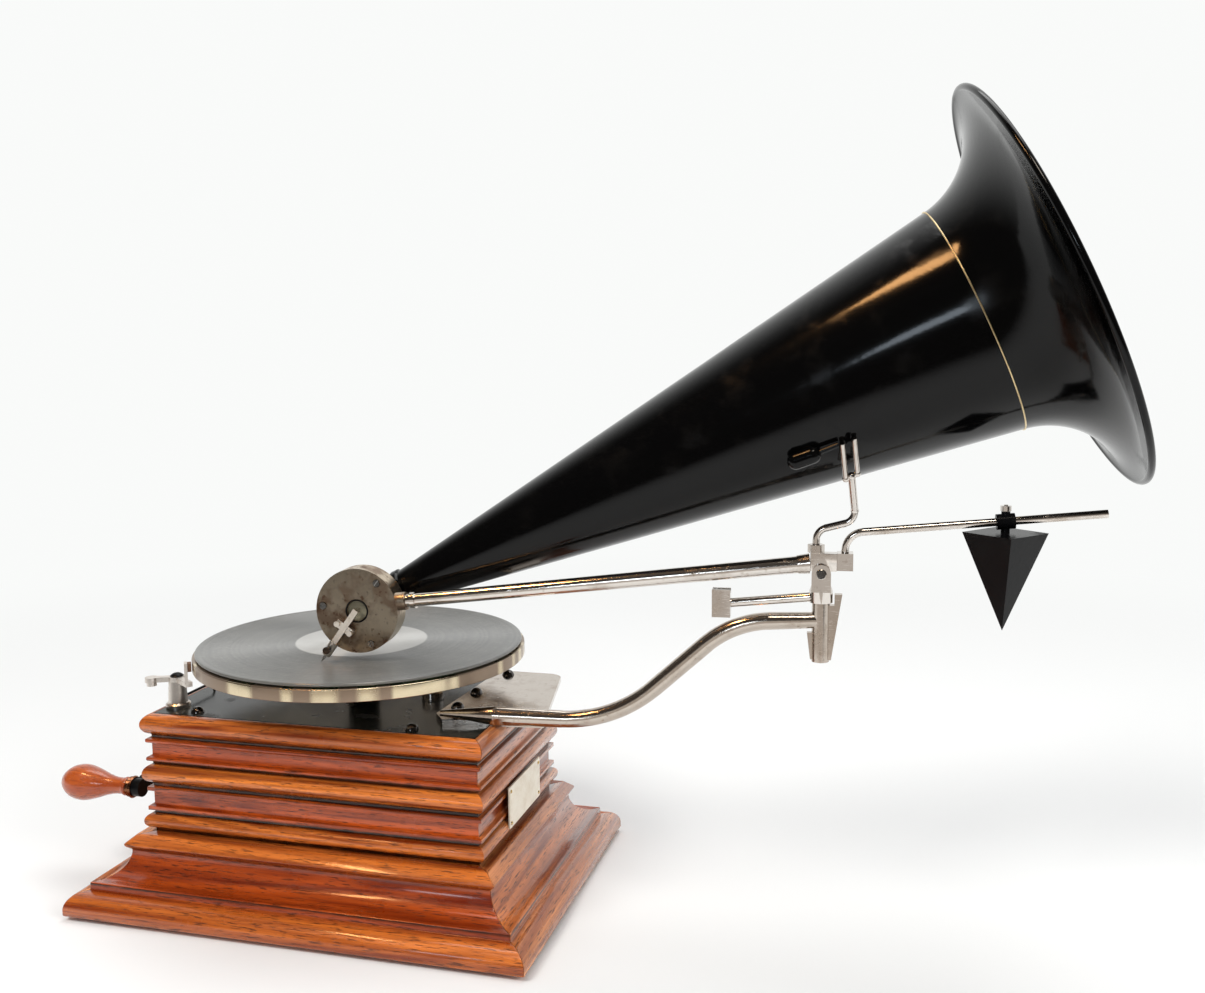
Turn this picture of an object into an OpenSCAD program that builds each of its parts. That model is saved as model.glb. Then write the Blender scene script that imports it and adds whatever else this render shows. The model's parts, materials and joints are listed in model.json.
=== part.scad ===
// Table gramophone for seven-inch discs: a moulded oak case with a spring motor,
// a nickelled support arm, and a travelling arm that carries the soundbox,
// the horn and a sliding counterweight. X runs along the front, Y to the back, Z up.

/* [Case] */
// Width of the plinth along the front
case_w = 252; // [240:1:280]
// Depth of the plinth
case_d = 183; // [178:1:210]
// Height of a foot
foot_h = 2.5; // [2:0.5:3]
// Diameter of a foot
foot_d = 14; // [10:1:18]
// Distance of a foot's middle from the plinth's edges
foot_inset = 13; // [10:1:18]
// Height of the plinth's upright bottom edge
edge_h = 2.8; // [2:0.2:5]
// Radius of the plinth's quarter-round
ovolo_r = 8.5; // [6:0.5:10]
// Height of the small step above the quarter-round
step_h = 3.9; // [3:0.1:5]
// Inset of the hollow's lower end from the plinth's edge
step_in = 12; // [11:0.5:14]
// Radius of the plinth's hollow
cove_r = 13.3; // [11:0.1:15]
// Height of the belt above the hollow
belt_h = 7.8; // [6:0.2:9]
// How far the belt's nose stands out over the hollow
belt_out = 3; // [2:0.2:4]
// Inset of the beads' crowns from the plinth's edge
bead_in = 30.2; // [30:0.1:32]
// Inset of the flat fillets
fillet_in = 32; // [31.8:0.1:33]
// Inset of the narrow quirks between the mouldings
quirk_in = 34.4; // [34:0.1:35]
// Height of a quirk
quirk_h = 2; // [1.2:0.1:2.5]
// Height of a fillet
fillet_h = 2; // [1.4:0.1:3]
// Radius of the lower bead
low_bead_r = 4; // [3.5:0.1:4.5]
// Radius of the middle bead
mid_bead_r = 5.1; // [4.5:0.1:5.5]
// Radius of the bead round the top
top_bead_r = 5.7; // [5.2:0.1:6]
// Radius of the lower hollow band
low_hollow_r = 4.3; // [3.5:0.1:5]
// Radius of the upper hollow band
top_hollow_r = 4; // [3.5:0.1:4.5]
// Inset of the walls' inner faces
inner_in = 46; // [44:0.5:48]
// Thickness of the motor board
board_t = 6; // [5:0.5:8]
// Thickness of the bottom board
bottom_t = 7; // [5:0.5:8]
// Width of the bare name plate
plate_w = 50; // [40:1:60]
// Height of the bare name plate
plate_h = 22; // [18:1:24]
// Thickness of the bare name plate
name_t = 0.8; // [0.5:0.1:1.5]

/* [Turntable] */
// Diameter of the platter
platter_d = 178; // [170:1:184]
// Height of the platter's rim
platter_h = 6.6; // [6:0.1:9]
// Wall of the platter's rim
platter_rim = 4; // [3:0.5:6]
// Thickness of the platter's web
platter_web = 3; // [2:0.5:4]
// Thickness of the felt
felt_t = 0.8; // [0.5:0.1:1.5]
// Diameter of the disc record
record_d = 175; // [168:1:177]
// Thickness of the disc record
record_t = 1.7; // [1.2:0.1:2.5]
// Diameter of the spindle
spindle_d = 7; // [6:0.1:7.4]
// How far the spindle stands above the record
spindle_up = 5; // [4:0.5:6]
// Spindle's place from the case's middle, along X
spindle_x = 3; // [0:0.5:4]
// Spindle's place from the case's middle, along Y
spindle_y = 1.5; // [0:0.5:3]
// Diameter of the black spindle bush
bush_d = 17; // [15:0.5:20]
// Height of the bush above the motor board
bush_h = 20; // [18:0.5:22]

/* [Spring motor] */
// Thickness of a motor plate
motor_plate_t = 2.5; // [2:0.5:3]
// Gap between the motor's plates and the walls
motor_gap = 6.5; // [5:0.5:8]
// Height of the lower plate above the bottom board
plate_gap = 2.5; // [2:0.5:4]
// Diameter of a pillar
pillar_d = 8; // [6:0.5:9]
// Gap between the great wheel's tips and the left wall
great_gap = 11.6; // [11:0.2:13]
// Teeth on the great wheel
great_teeth = 54; // [48:3:54]
// Leaves on the spindle's pinion
spindle_leaves = 9; // [9:3:9]
// Gap between the spring barrel and the spindle's pinion
barrel_gap = 3.2; // [2.4:0.2:5]
// Height of the spring barrel
barrel_h = 26; // [20:1:28]
// Turns of the mainspring's ribbon
spring_turns = 6; // [4:1:7]
// Diameter of the winding arbor
arbor_d = 6; // [5:0.5:7]
// Module of the winding wheel and its pinion
wind_m = 1; // [0.95:0.01:1.05]
// Teeth on the winding wheel
wind_teeth = 30; // [26:2:30]
// Leaves on the winding pinion
wind_leaves = 10; // [10:2:10]
// Module of the governor's wheel and its pinion
fast_m = 0.75; // [0.72:0.01:0.78]
// Teeth on the governor's wheel
fast_teeth = 72; // [64:8:72]
// Leaves on the governor's pinion
fast_leaves = 8; // [8:4:8]
// Diameter of the governor's shaft
governor_d = 3.2; // [2.8:0.1:3.4]
// Diameter of the governor's disc
governor_disc_d = 28; // [26:1:30]
// Diameter of the regulating screw
regulator_d = 3.6; // [3:0.2:4]

/* [Crank] */
// Diameter of the crank's shaft
crank_d = 7; // [6:0.5:8]
// Height of the crank's shaft above the floor
crank_z = 60; // [59:0.5:61]
// Throw of the crank
crank_throw = 36; // [30:1:37]
// Angle of the crank's arm below level at rest
crank_rest = 14; // [0:1:20]
// How far the crank's arm stands off the case
crank_off = 20; // [20:1:24]
// Length of the wooden handle
handle_l = 42; // [36:1:50]
// Greatest diameter of the wooden handle
handle_d = 20; // [17:0.5:24]

/* [Brake] */
// Distance of the brake post from the motor board's left edge
brake_side = 5.6; // [5:0.1:7]
// Distance of the brake post from the motor board's front edge
brake_front = 13.6; // [12:0.1:15]
// Height of the brake post's shoulder above the board
brake_h = 14; // [13:0.5:15]
// Diameter of the brake post's foot
brake_foot_d = 13; // [11:0.5:14]
// Thickness of the brake lever
lever_t = 2.6; // [2:0.1:3]

/* [Support arm] */
// Pivot's place, along X
pivot_x = 253.5; // [250:0.5:256]
// Pivot's place, along Y
pivot_y = -20.5; // [-22:0.5:-19]
// Direction of the arms from the X axis at rest
arm_turn = 4.7; // [4:0.1:5.4]
// Thickness of the foot plate on the motor board
foot_plate_t = 2.6; // [2:0.1:4]
// Diameter of the arm where it leaves its plate
arm_root_d = 9.6; // [9:0.1:10.4]
// Diameter of the bent arm
arm_d = 8.6; // [7.6:0.1:9]
// Steepest slope of the bent arm
arm_slope = 42; // [38:1:44]
// Radius of the arm's lower bend
low_bend_r = 70; // [60:1:75]
// Radius of the arm's upper bend
high_bend_r = 50; // [44:1:54]
// Length of the arm's sloping stretch
slope_l = 34; // [30:1:38]
// Outer diameter of the pivot socket
socket_d = 8.4; // [8:0.1:9.4]
// Length of the pivot socket
socket_l = 28.5; // [26:0.5:31]
// Diameter of the pivot in its socket
journal_d = 4.6; // [4:0.1:5]

/* [Travelling arm] */
// Height of the arm's hinge above the socket
hinge_up = 14.5; // [14:0.5:17]
// Diameter of the hinge pin
hinge_d = 3; // [2.4:0.1:3.6]
// Thickness of the arm's knuckle
knuckle_t = 6.2; // [5.6:0.1:7]
// Diameter of the travelling arm at its hinge
tube_d = 8.2; // [7.4:0.1:9]
// Diameter of the travelling arm at the soundbox
tube_tip_d = 6.8; // [6:0.1:7.4]
// Diameter of the counterweight's rod
rod_d = 3.8; // [3.2:0.1:4.2]
// Length of the counterweight's rod past its bend
rod_l = 108; // [100:1:120]
// Upward slope of the counterweight's rod
rod_slope = 5.5; // [4:0.5:7]
// Diameter of the rod that props the horn
prop_d = 3.6; // [3:0.1:4]
// Distance of the weight along the straight of its rod
weight_at = 64; // [58:1:70]
// Side of the weight's square top
weight_side = 27; // [24:0.5:30]
// Height of the weight's point below its top
weight_h = 46; // [40:1:50]

/* [Soundbox] */
// Diameter of the soundbox
box_d = 43.6; // [40:0.2:46]
// Thickness of the soundbox
box_t = 12; // [11:0.5:13]
// Diameter of the hole in the soundbox's face
box_hole_d = 10.4; // [9:0.2:12]
// Distance of the soundbox's middle from the pivot
box_reach = 232; // [228:1:236]
// Slope of the needle and its bar from the level
needle_slope = 54; // [50:1:60]
// Diameter of the needle
needle_d = 1.5; // [1.2:0.1:1.8]

/* [Horn] */
// How far the horn's axis lies behind the arm
horn_back = 20; // [19:0.5:22]
// Upward slope of the horn
horn_slope = 25.4; // [25:0.1:26]
// Length of the cone from the elbow to the bell
cone_l = 324; // [310:1:330]
// Outer radius of the cone at the bell
cone_r = 55.5; // [50:0.5:58]
// Outer radius of the cone at its small end
small_r = 8.6; // [8.2:0.1:9.2]
// Radius of the bell's flare
flare_r = 40; // [36:1:44]
// Width of the bell's nearly flat lip
lip_w = 12; // [8:0.5:16]
// Thickness of the horn's sheet
sheet_t = 0.9; // [0.8:0.1:1.4]
// Radius of the wire rolled into the rim
rim_r = 1.7; // [1.2:0.1:2.2]
// Outer radius of the elbow's tube
elbow_r = 6; // [5.6:0.1:6.4]
// Bend radius of the elbow
elbow_bend = 8; // [7.6:0.1:8.6]

/* [Clearances] */
// Radial clearance of a running shaft
run = 0.04; // [0.02:0.01:0.08]
// Gap between a moving face and a fixed one
clear = 0.3; // [0.2:0.05:0.5]
// Gap round a board laid in its rebate
board_gap = 0.25; // [0.1:0.05:0.5]

/* [Hidden] */
$fn = 96;
over = 1;
lap = 0.4;

// Heights of the case, from the floor up
plinth_top = foot_h + edge_h + ovolo_r + step_h + cove_r + belt_h;
waist_h = 3 * quirk_h + 2 * (low_bead_r + fillet_h + low_hollow_r + mid_bead_r);
waist_top = plinth_top + waist_h;
cornice_h = 2 * (quirk_h + fillet_h + top_hollow_r + top_bead_r);
case_top = waist_top + cornice_h;
low_bead_z = plinth_top + quirk_h + low_bead_r;
low_band_z = low_bead_z + low_bead_r + quirk_h;
mid_bead_z = waist_top - mid_bead_r;
top_band_z = waist_top + quirk_h;
top_bead_z = case_top - top_bead_r;
board_in = bead_in + top_bead_r;
brake_x = -case_w / 2 + board_in + brake_side;
brake_y = -case_d / 2 + board_in + brake_front;
board_z = case_top - board_t;
hollow_depth = 3.9;
bottom_top = foot_h + bottom_t;

// Heights of the turntable
bush_top = case_top + bush_h;
web_z = bush_top + clear + platter_h - platter_web / 2;
platter_top = web_z + platter_web;
rim_z = platter_top - platter_h;
felt_top = platter_top + felt_t;
record_top = felt_top + record_t;
spindle_top = record_top + spindle_up;
bush_neck_d = 11;
hub_d = 22;

// Places and heights in the motor
low_plate_z = bottom_top + plate_gap;
low_plate_top = low_plate_z + motor_plate_t;
high_plate_z = board_z - motor_plate_t;
motor_plate_w = case_w - 2 * inner_in - 2 * motor_gap;
motor_plate_d = case_d - 2 * inner_in - 2 * motor_gap;
pillar_in = 6;
drive_m = (case_w / 2 - inner_in + spindle_x - great_gap) / (great_teeth + spindle_leaves / 2 + 1);
drive_reach = drive_m * (great_teeth + spindle_leaves) / 2;
barrel_d = 2 * (drive_reach - drive_m * (spindle_leaves / 2 + 1) - barrel_gap);
barrel_x = spindle_x - drive_reach;
great_z = low_plate_top + 2.5;
great_t = 3;
barrel_z = great_z + great_t;
barrel_wall = 1.5;
cover_t = 1.6;
barrel_top = barrel_z + barrel_h;
wind_pitch_r = wind_m * wind_teeth / 2;
wind_leaf_r = wind_m * wind_leaves / 2;
wind_plane = crank_z - wind_leaf_r;
wind_disc_t = 2.5;
wind_face = 5;
ratchet_r = 11;
ratchet_t = 3;
ratchet_z = high_plate_z - 4 - ratchet_t;
click_reach = 19;
click_hub_r = 4;
click_stud_d = 3.6;
fast_reach = fast_m * (fast_teeth + fast_leaves) / 2;
governor_x = spindle_x + fast_reach;
fast_z = crank_z + 6;
fast_t = 3;
fast_hub = 4;
leaf_extra = 2;
disc_z = crank_z - 4;
disc_t = 2;
collar_h = 4;
spring_span = 24;
spring_bow = 6;
spring_t = 0.5;
spring_w = 4;
weight_r = 4.5;
weight_t = 5;
regulator_x = governor_x + governor_disc_d / 2 - 3;
regulator_head_d = 12;
pad_d = 6;
pad_t = 2;

// Places along the crank
wall_x = -case_w / 2 + bead_in;
crank_arm_t = 5;
crank_arm_x = wall_x - crank_off;
ferrule_l = 4;
handle_x = crank_arm_x - crank_arm_t - ferrule_l - clear;
sleeve_d = 12;
flange_d = 18;
flange_t = 2;

// Heights of the support arm and of what it carries
foot_plate_top = case_top + foot_plate_t;
arm_low_z = foot_plate_top + arm_root_d / 4;
end_slope = 3;
low_rise = low_bend_r * (1 - cos(arm_slope));
high_rise = high_bend_r * (cos(end_slope) - cos(arm_slope));
low_run = low_bend_r * sin(arm_slope);
high_run = high_bend_r * (sin(arm_slope) - sin(end_slope));
end_l = 24;
arm_high_z = arm_low_z + low_rise + slope_l * sin(arm_slope) + high_rise + end_l * sin(end_slope);
bends_run = low_run + slope_l * cos(arm_slope) + high_run + end_l * cos(end_slope);
arm_run = 190;
root_l = arm_run - bends_run;
socket_top = arm_high_z + 8.5;
socket_z = socket_top - socket_l;

// Swivel head, hinge and travelling arm, in the arm's own frame
collar_d = 11;
collar_z = socket_top + clear;
collar_top = collar_z + 5.5;
hinge_z = socket_top + hinge_up;
cheek_r = 4.5;
cheek_t = 2.2;
cheek_gap = knuckle_t / 2 + clear / 2;
rest_d = 4.5;
rest_slope = 6;
rest_l = 41;
rest_block = [7.3, 6, 13.5];
knuckle_top = hinge_z + 9.5;
tube_z = hinge_z + 4.2;
tube_x = -5.2;
needle_gap = 0.06;
box_up = 26.35;
box_z = record_top + needle_gap + box_up;
box_front = 2.5;
box_back = box_front - box_t;
tube_end_x = -box_reach + box_d / 2 + 4;
tube_end_z = box_z + 5.6;
boss_r = 4.6;
rod_block = [7.4, 8, 8.2];
rod_block_x = 7.2;
rod_block_z = hinge_z + 1.6;
rod_bend_r = 9;
rod_up = 1;
rod_x = rod_block_x + rod_block[0] / 2;
rod_foot_z = rod_block_z + rod_block[2];
rod_turn = 90 - rod_slope;
rod_start = [rod_x + rod_bend_r * (1 - cos(rod_turn)), 0, rod_foot_z + rod_up + rod_bend_r * sin(rod_turn)];
hanger_l = 8.3;
hanger_r = 3.6;
neck_d = 4;
weight_screw_d = 1.8;
weight_drop = 5.2;
nut_h = 4;
nut_d = 8;
prop_x = -2.6;

// Needle, from the soundbox's middle
needle_reach = box_up / sin(needle_slope);
bar_out = 1.2;
bar_w = 3;
bar_t = 2.2;
bar_z = box_front + bar_out;
chuck_r = 2.4;
chuck_from = box_d / 2 - 2;
chuck_l = 8;

// Horn, from the middle of its elbow
elbow_x = -box_reach + elbow_bend * cos(horn_slope);
elbow_z = box_z + elbow_bend * sin(horn_slope);
cone_from = 10;
cone_slope = (cone_r - small_r) / (cone_l - cone_from);
collar_l = 12;
cone_lean = atan(cone_slope);
lip_lean = 78;
flare_steps = 12;
prop_s = 250;
prop_turn = 60;
lug_r = 1.4;
lug_l = 5;
prong_r = 1.2;
prong_l = 20;
prong_out = 2.2;
bulb_s = prop_s - 17;
bulb_l = 8;
bulb_r = 4;
bulb_out = 3.3;
pin_r = 1.2;
fork_gap = lug_r + 0.3;

// Shared shapes

// Toothed outline: straight-flanked teeth with room for backlash
module toothed(teeth, m, first = 0) {
    pitch = 360 / teeth;
    tip = m * (teeth / 2 + 0.85);
    root = m * (teeth / 2 - 1.1);
    flank = [[root, -0.29], [tip, -0.11], [tip, 0.11], [root, 0.29]];
    polygon([for (k = [0 : teeth - 1]) for (f = flank)
        f[0] * [cos(first + pitch * (k + f[1])), sin(first + pitch * (k + f[1]))]]);
}

// Round rod between two points
module rod(from, to, r) {
    d = to - from;
    translate(from)
        rotate([0, acos(d[2] / norm(d)), atan2(d[1], d[0])])
            cylinder(r = r, h = norm(d));
}

// Straight stretch of round bar that laps into the bends at its ends
module straight(r, l) {
    translate([0, 0, -lap])
        cylinder(r = r, h = l + 2 * lap);
}

// Part ring of round bar, drawn a little thinner, that turns from +Z towards +X
module bend(r, radius, turn) {
    translate([radius, 0, 0])
        rotate([90, 0, 0])
            rotate([0, 0, 180 - turn])
                rotate_extrude(angle = turn)
                    translate([radius, 0])
                        circle(r - 0.08);
}

// Where a bend ends, with Z along the bar again
module after_bend(radius, turn) {
    translate([radius * (1 - cos(turn)), 0, radius * sin(turn)])
        rotate([0, turn, 0])
            children();
}

// Domed wood screw with its shank, standing on its seat
module dome_screw(head_d, head_h, shank_l) {
    ball = (pow(head_d / 2, 2) + pow(head_h, 2)) / (2 * head_h);
    intersection() {
        translate([0, 0, head_h - ball])
            sphere(ball);
        cylinder(d = head_d + over, h = head_h + over);
    }
    translate([0, 0, -shank_l])
        cylinder(d = head_d * 0.42, h = shank_l + head_h / 3);
}

module at_spindle() {
    translate([spindle_x, spindle_y, 0])
        children();
}

module at_barrel() {
    translate([barrel_x, spindle_y, 0])
        children();
}

module at_governor() {
    translate([governor_x, spindle_y, 0])
        children();
}

module at_crank() {
    translate([0, spindle_y, crank_z])
        rotate([0, -90, 0])
            children();
}

module at_brake() {
    translate([brake_x, brake_y, case_top])
        children();
}

// Arm frame: X along the arm, away from the soundbox, with the pivot's axis on Z
module arm_frame() {
    translate([pivot_x, pivot_y, 0])
        rotate([0, 0, arm_turn])
            children();
}

// Soundbox frame: Z out of the face
module box_frame() {
    arm_frame()
        translate([-box_reach, 0, box_z])
            rotate([90, 0, 0])
                children();
}

// Needle frame: X down the needle, Z out of the soundbox's face
module needle_frame() {
    box_frame()
        rotate([0, 0, 180 + needle_slope])
            children();
}

// Horn frame: Z along the horn to its mouth
module horn_frame() {
    arm_frame()
        translate([elbow_x, horn_back, elbow_z])
            rotate([0, 90 - horn_slope, 0])
                children();
}

// Case

// Two mitred lengths of one moulding, opposite each other
module rail_pair(length, span, top) {
    for (turn = [0, 180])
        rotate([0, 0, turn])
            translate([0, -span / 2, 0])
                intersection() {
                    rotate([90, 0, 90])
                        linear_extrude(length, center = true)
                            children();
                    linear_extrude(top + over)
                        polygon([[-length / 2, 0], [length / 2, 0],
                            [length / 2 - inner_in, inner_in], [inner_in - length / 2, inner_in]]);
                }
}

// Plinth outline: inset from the edge against height
module plinth_outline() {
    ovolo_z = foot_h + edge_h;
    step_z = ovolo_z + ovolo_r + step_h;
    cove_z = step_z + cove_r;
    root = step_in + cove_r;
    translate([0, foot_h])
        square([inner_in, edge_h]);
    translate([ovolo_r, ovolo_z]) {
        intersection() {
            circle(ovolo_r);
            translate([-ovolo_r, 0])
                square(2 * ovolo_r);
        }
        square([inner_in - ovolo_r, ovolo_r]);
    }
    translate([step_in - 2, foot_h])
        square([inner_in - step_in + 2, step_z - foot_h]);
    difference() {
        translate([step_in, foot_h])
            square([inner_in - step_in, cove_z - foot_h]);
        translate([step_in, cove_z])
            circle(cove_r);
    }
    polygon([[root, cove_z], [root - belt_out + 0.4, cove_z + belt_h * 0.28],
        [root - belt_out, cove_z + belt_h * 0.45], [root + 2.2, plinth_top],
        [inner_in, plinth_top], [inner_in, cove_z]]);
}

// Hollow band between two fillets
module hollow_band(z, r) {
    difference() {
        translate([fillet_in, z])
            square([inner_in - fillet_in, 2 * (r + fillet_h)]);
        translate([fillet_in + hollow_depth - r, z + fillet_h + r])
            circle(r);
    }
}

module waist_outline() {
    translate([quirk_in, plinth_top])
        square([inner_in - quirk_in, waist_h]);
    translate([bead_in + low_bead_r, low_bead_z])
        circle(low_bead_r);
    hollow_band(low_band_z, low_hollow_r);
    translate([bead_in + mid_bead_r, mid_bead_z])
        circle(mid_bead_r);
}

module cornice_outline() {
    difference() {
        union() {
            translate([quirk_in, waist_top])
                square([inner_in - quirk_in, cornice_h - board_t]);
            hollow_band(top_band_z, top_hollow_r);
            translate([board_in, top_bead_z])
                circle(top_bead_r);
        }
        translate([board_in, board_z])
            square([inner_in, board_t + over]);
    }
}

module plinth_rails_long() color("sienna")
    rail_pair(case_w, case_d, plinth_top)
        plinth_outline();

module plinth_rails_end() color("sienna")
    rotate([0, 0, 90])
        rail_pair(case_d, case_w, plinth_top)
            plinth_outline();

module waist_rails_long() color("peru")
    rail_pair(case_w, case_d, waist_top)
        waist_outline();

module waist_rails_end() color("peru")
    difference() {
        rotate([0, 0, 90])
            rail_pair(case_d, case_w, waist_top)
                waist_outline();
        at_crank()
            cylinder(d = sleeve_d + 2 * run, h = case_w);
    }

module cornice_rails_long() color("sienna")
    rail_pair(case_w, case_d, case_top)
        cornice_outline();

module cornice_rails_end() color("sienna")
    rotate([0, 0, 90])
        rail_pair(case_d, case_w, case_top)
            cornice_outline();

// Board of the given inset from the plinth's edge
module board(inset, z, t) {
    translate([inset - case_w / 2, inset - case_d / 2, z])
        cube([case_w - 2 * inset, case_d - 2 * inset, t]);
}

module bottom_board() color("saddlebrown")
    board(inner_in + board_gap, foot_h, bottom_t);

module motor_board() color("dimgray")
    difference() {
        board(board_in + board_gap, board_z, board_t);
        at_spindle()
            translate([0, 0, board_z - over])
                cylinder(d = bush_neck_d + 2 * run, h = board_t + 2 * over);
        translate([regulator_x, spindle_y, board_z - over])
            cylinder(d = regulator_d + 2 * run, h = board_t + 2 * over);
        for (p = screw_places)
            translate([p[0], p[1], board_z - over])
                cylinder(d = screw_hole_d, h = board_t + 2 * over);
        for (p = support_places)
            translate([p[0], p[1], board_z - over])
                cylinder(d = screw_hole_d, h = board_t + 2 * over);
        at_brake()
            translate([0, 0, -brake_spigot_l])
                cylinder(d = brake_spigot_d + 2 * run, h = brake_spigot_l + over);
    }

module feet() color("black")
    for (sx = [-1, 1], sy = [-1, 1])
        translate([sx * (case_w / 2 - foot_inset), sy * (case_d / 2 - foot_inset), 0])
            cylinder(d1 = foot_d - 2, d2 = foot_d, h = foot_h);

// Bare plate, laid over the right side's mouldings
name_x = case_w / 2 - bead_in;
name_y = 0;
name_z = low_bead_z + plate_h / 2;
name_pin = [plate_w / 2 - 2.5, plate_h / 2 - 2.5];
name_pin_d = 2;

module at_name_pins() {
    for (sy = [-1, 1], sz = [-1, 1])
        translate([name_x, name_y + sy * name_pin[0], name_z + sz * name_pin[1]])
            rotate([0, 90, 0])
                children();
}

module name_plate() color("wheat")
    difference() {
        translate([name_x, name_y - plate_w / 2, name_z - plate_h / 2])
            cube([name_t, plate_w, plate_h]);
        at_name_pins()
            translate([0, 0, -over])
                cylinder(d = name_pin_d * 0.42 + 2 * run, h = name_t + 2 * over);
    }

module name_plate_pins() color("goldenrod")
    at_name_pins()
        translate([0, 0, name_t])
            dome_screw(name_pin_d, 0.7, name_t);

screw_head_d = 7;
screw_head_h = 3;
screw_hole_d = screw_head_d * 0.42 + 2 * run;
screw_in = 6.5;
screw_end = 22;
screw_off = 16.4;
screw_x = case_w / 2 - board_in - screw_end;
screw_y = case_d / 2 - board_in - screw_in;
screw_places = [[brake_x + screw_off, -screw_y], [-screw_x, screw_y], [screw_x - 14, -screw_y]];

module dome_screws() color("black") {
    for (p = screw_places)
        translate([p[0], p[1], case_top])
            dome_screw(screw_head_d, screw_head_h, board_t);
    for (p = support_places)
        translate([p[0], p[1], foot_plate_top])
            dome_screw(screw_head_d, screw_head_h, board_t + foot_plate_t);
}

// Support arm

foot_gap = 9.1;
foot_x = regulator_x + regulator_head_d / 2 + foot_gap;
foot_over = 5;
foot_flare = 17.2;
foot_end_x = case_w / 2 - bead_in + foot_over;
foot_out_x = foot_end_x + foot_flare;
foot_end_y = case_d / 2 - board_in;
foot_front_y = pivot_y - 18;
foot_corner_r = 9;
foot_out_y = foot_front_y + 6.5;
foot_corner_x = foot_end_x + foot_flare * foot_corner_r / (foot_end_y - foot_out_y);
support_places = [[foot_x + 12, foot_end_y - 8], [foot_x + 7, spindle_y + 8],
    [foot_x + 7, foot_front_y + 21]];

module foot_plate() {
    difference() {
        translate([0, 0, case_top])
            linear_extrude(foot_plate_t)
                difference() {
                    polygon([[foot_x, foot_front_y + 9], [foot_x + 7, foot_front_y],
                        [foot_end_x, foot_front_y + 4], [foot_out_x, foot_out_y],
                        [foot_end_x, foot_end_y], [foot_x + 4, foot_end_y]]);
                    translate([foot_corner_x - foot_corner_r, foot_end_y - foot_corner_r])
                        difference() {
                            square(foot_corner_r + over);
                            circle(foot_corner_r);
                        }
                }
        for (p = support_places)
            translate([p[0], p[1], case_top - over])
                cylinder(d = screw_hole_d, h = foot_plate_t + 2 * over);
    }
}

// Bent arm in its frame: a spine on the plate, then an S up to the socket
module bent_arm() {
    translate([-root_l - bends_run, 0, arm_low_z])
        rotate([0, 90, 0]) {
            spine = root_l * 0.45;
            rotate_extrude()
                polygon([[0, 0], [1.5, 0], [arm_root_d / 2, spine],
                    [arm_d / 2, root_l + lap], [0, root_l + lap]]);
            translate([0, 0, root_l])
                mirror([1, 0, 0])
                    up_bend();
        }
}

module up_bend() {
    bend(arm_d / 2, low_bend_r, arm_slope);
    after_bend(low_bend_r, arm_slope) {
        straight(arm_d / 2, slope_l);
        translate([0, 0, slope_l])
            mirror([1, 0, 0]) {
                bend(arm_d / 2, high_bend_r, arm_slope - end_slope);
                after_bend(high_bend_r, arm_slope - end_slope)
                    translate([0, 0, -lap])
                        cylinder(d1 = arm_d, d2 = socket_d - 0.8, h = end_l + lap);
            }
    }
}

// Tapered tongue and fin on the socket, as flat ribs
module socket_ribs() {
    inside = socket_d / 2 - 0.8;
    beyond = collar_d / 2 + 0.8;
    rotate([90, 0, 0])
        linear_extrude(4, center = true)
            polygon([[inside, socket_z + 1], [inside + 1.6, socket_z + 1], [beyond + 3.6, collar_top - 1.5],
                [beyond, collar_top - 1.5], [beyond, socket_top - 1], [inside, socket_top - 1]]);
    rotate([90, 0, 0])
        linear_extrude(3, center = true)
            polygon([[-inside, socket_z + 1], [-inside - 1.4, socket_z + 1], [-inside - 3, arm_high_z - 6],
                [-inside, arm_high_z - 6]]);
}

module support_arm() color("silver")
    union() {
        difference() {
            union() {
                foot_plate();
                arm_frame()
                    bent_arm();
            }
            arm_frame()
                translate([0, 0, socket_z - over])
                    cylinder(d = socket_d - 0.4, h = socket_l + 2 * over);
        }
        arm_frame()
            difference() {
                union() {
                    translate([0, 0, socket_z])
                        cylinder(d = socket_d, h = socket_l);
                    socket_ribs();
                }
                translate([0, 0, socket_z - over])
                    cylinder(d = journal_d + 2 * run, h = socket_l + 2 * over);
            }
    }

// Turntable

module spindle_bush() color("black")
    at_spindle()
        difference() {
            rotate_extrude()
                polygon([[0, high_plate_z + motor_plate_t], [bush_neck_d / 2, high_plate_z + motor_plate_t],
                    [bush_neck_d / 2, case_top], [bush_d / 2 + 2, case_top], [bush_d / 2 + 2, case_top + 2],
                    [bush_d / 2, case_top + 3], [bush_d / 2, bush_top - 1], [bush_d / 2 - 1, bush_top],
                    [0, bush_top]]);
            translate([0, 0, high_plate_z])
                cylinder(d = spindle_d + 2 * run, h = bush_top);
        }

module spindle() color("silver")
    at_spindle() {
        translate([0, 0, low_plate_z])
            cylinder(d = spindle_d, h = spindle_top - low_plate_z - spindle_d / 2);
        translate([0, 0, spindle_top - spindle_d / 2])
            sphere(d = spindle_d);
        translate([0, 0, great_z - leaf_extra])
            linear_extrude(great_t + 2 * leaf_extra)
                toothed(spindle_leaves, drive_m);
    }

module spindle_wheel() color("goldenrod")
    at_spindle()
        difference() {
            union() {
                translate([0, 0, fast_z])
                    linear_extrude(fast_t)
                        toothed(fast_teeth, fast_m);
                translate([0, 0, fast_z - fast_hub])
                    cylinder(d = spindle_d + 7, h = fast_t + 2 * fast_hub);
            }
            translate([0, 0, fast_z - fast_hub - over])
                cylinder(d = spindle_d, h = fast_t + 2 * fast_hub + 2 * over);
            for (k = [0 : 4])
                rotate([0, 0, 72 * k + 36])
                    translate([fast_m * fast_teeth / 3.3, 0, fast_z - over])
                        cylinder(d = fast_m * fast_teeth / 5, h = fast_t + 2 * over);
        }

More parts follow.
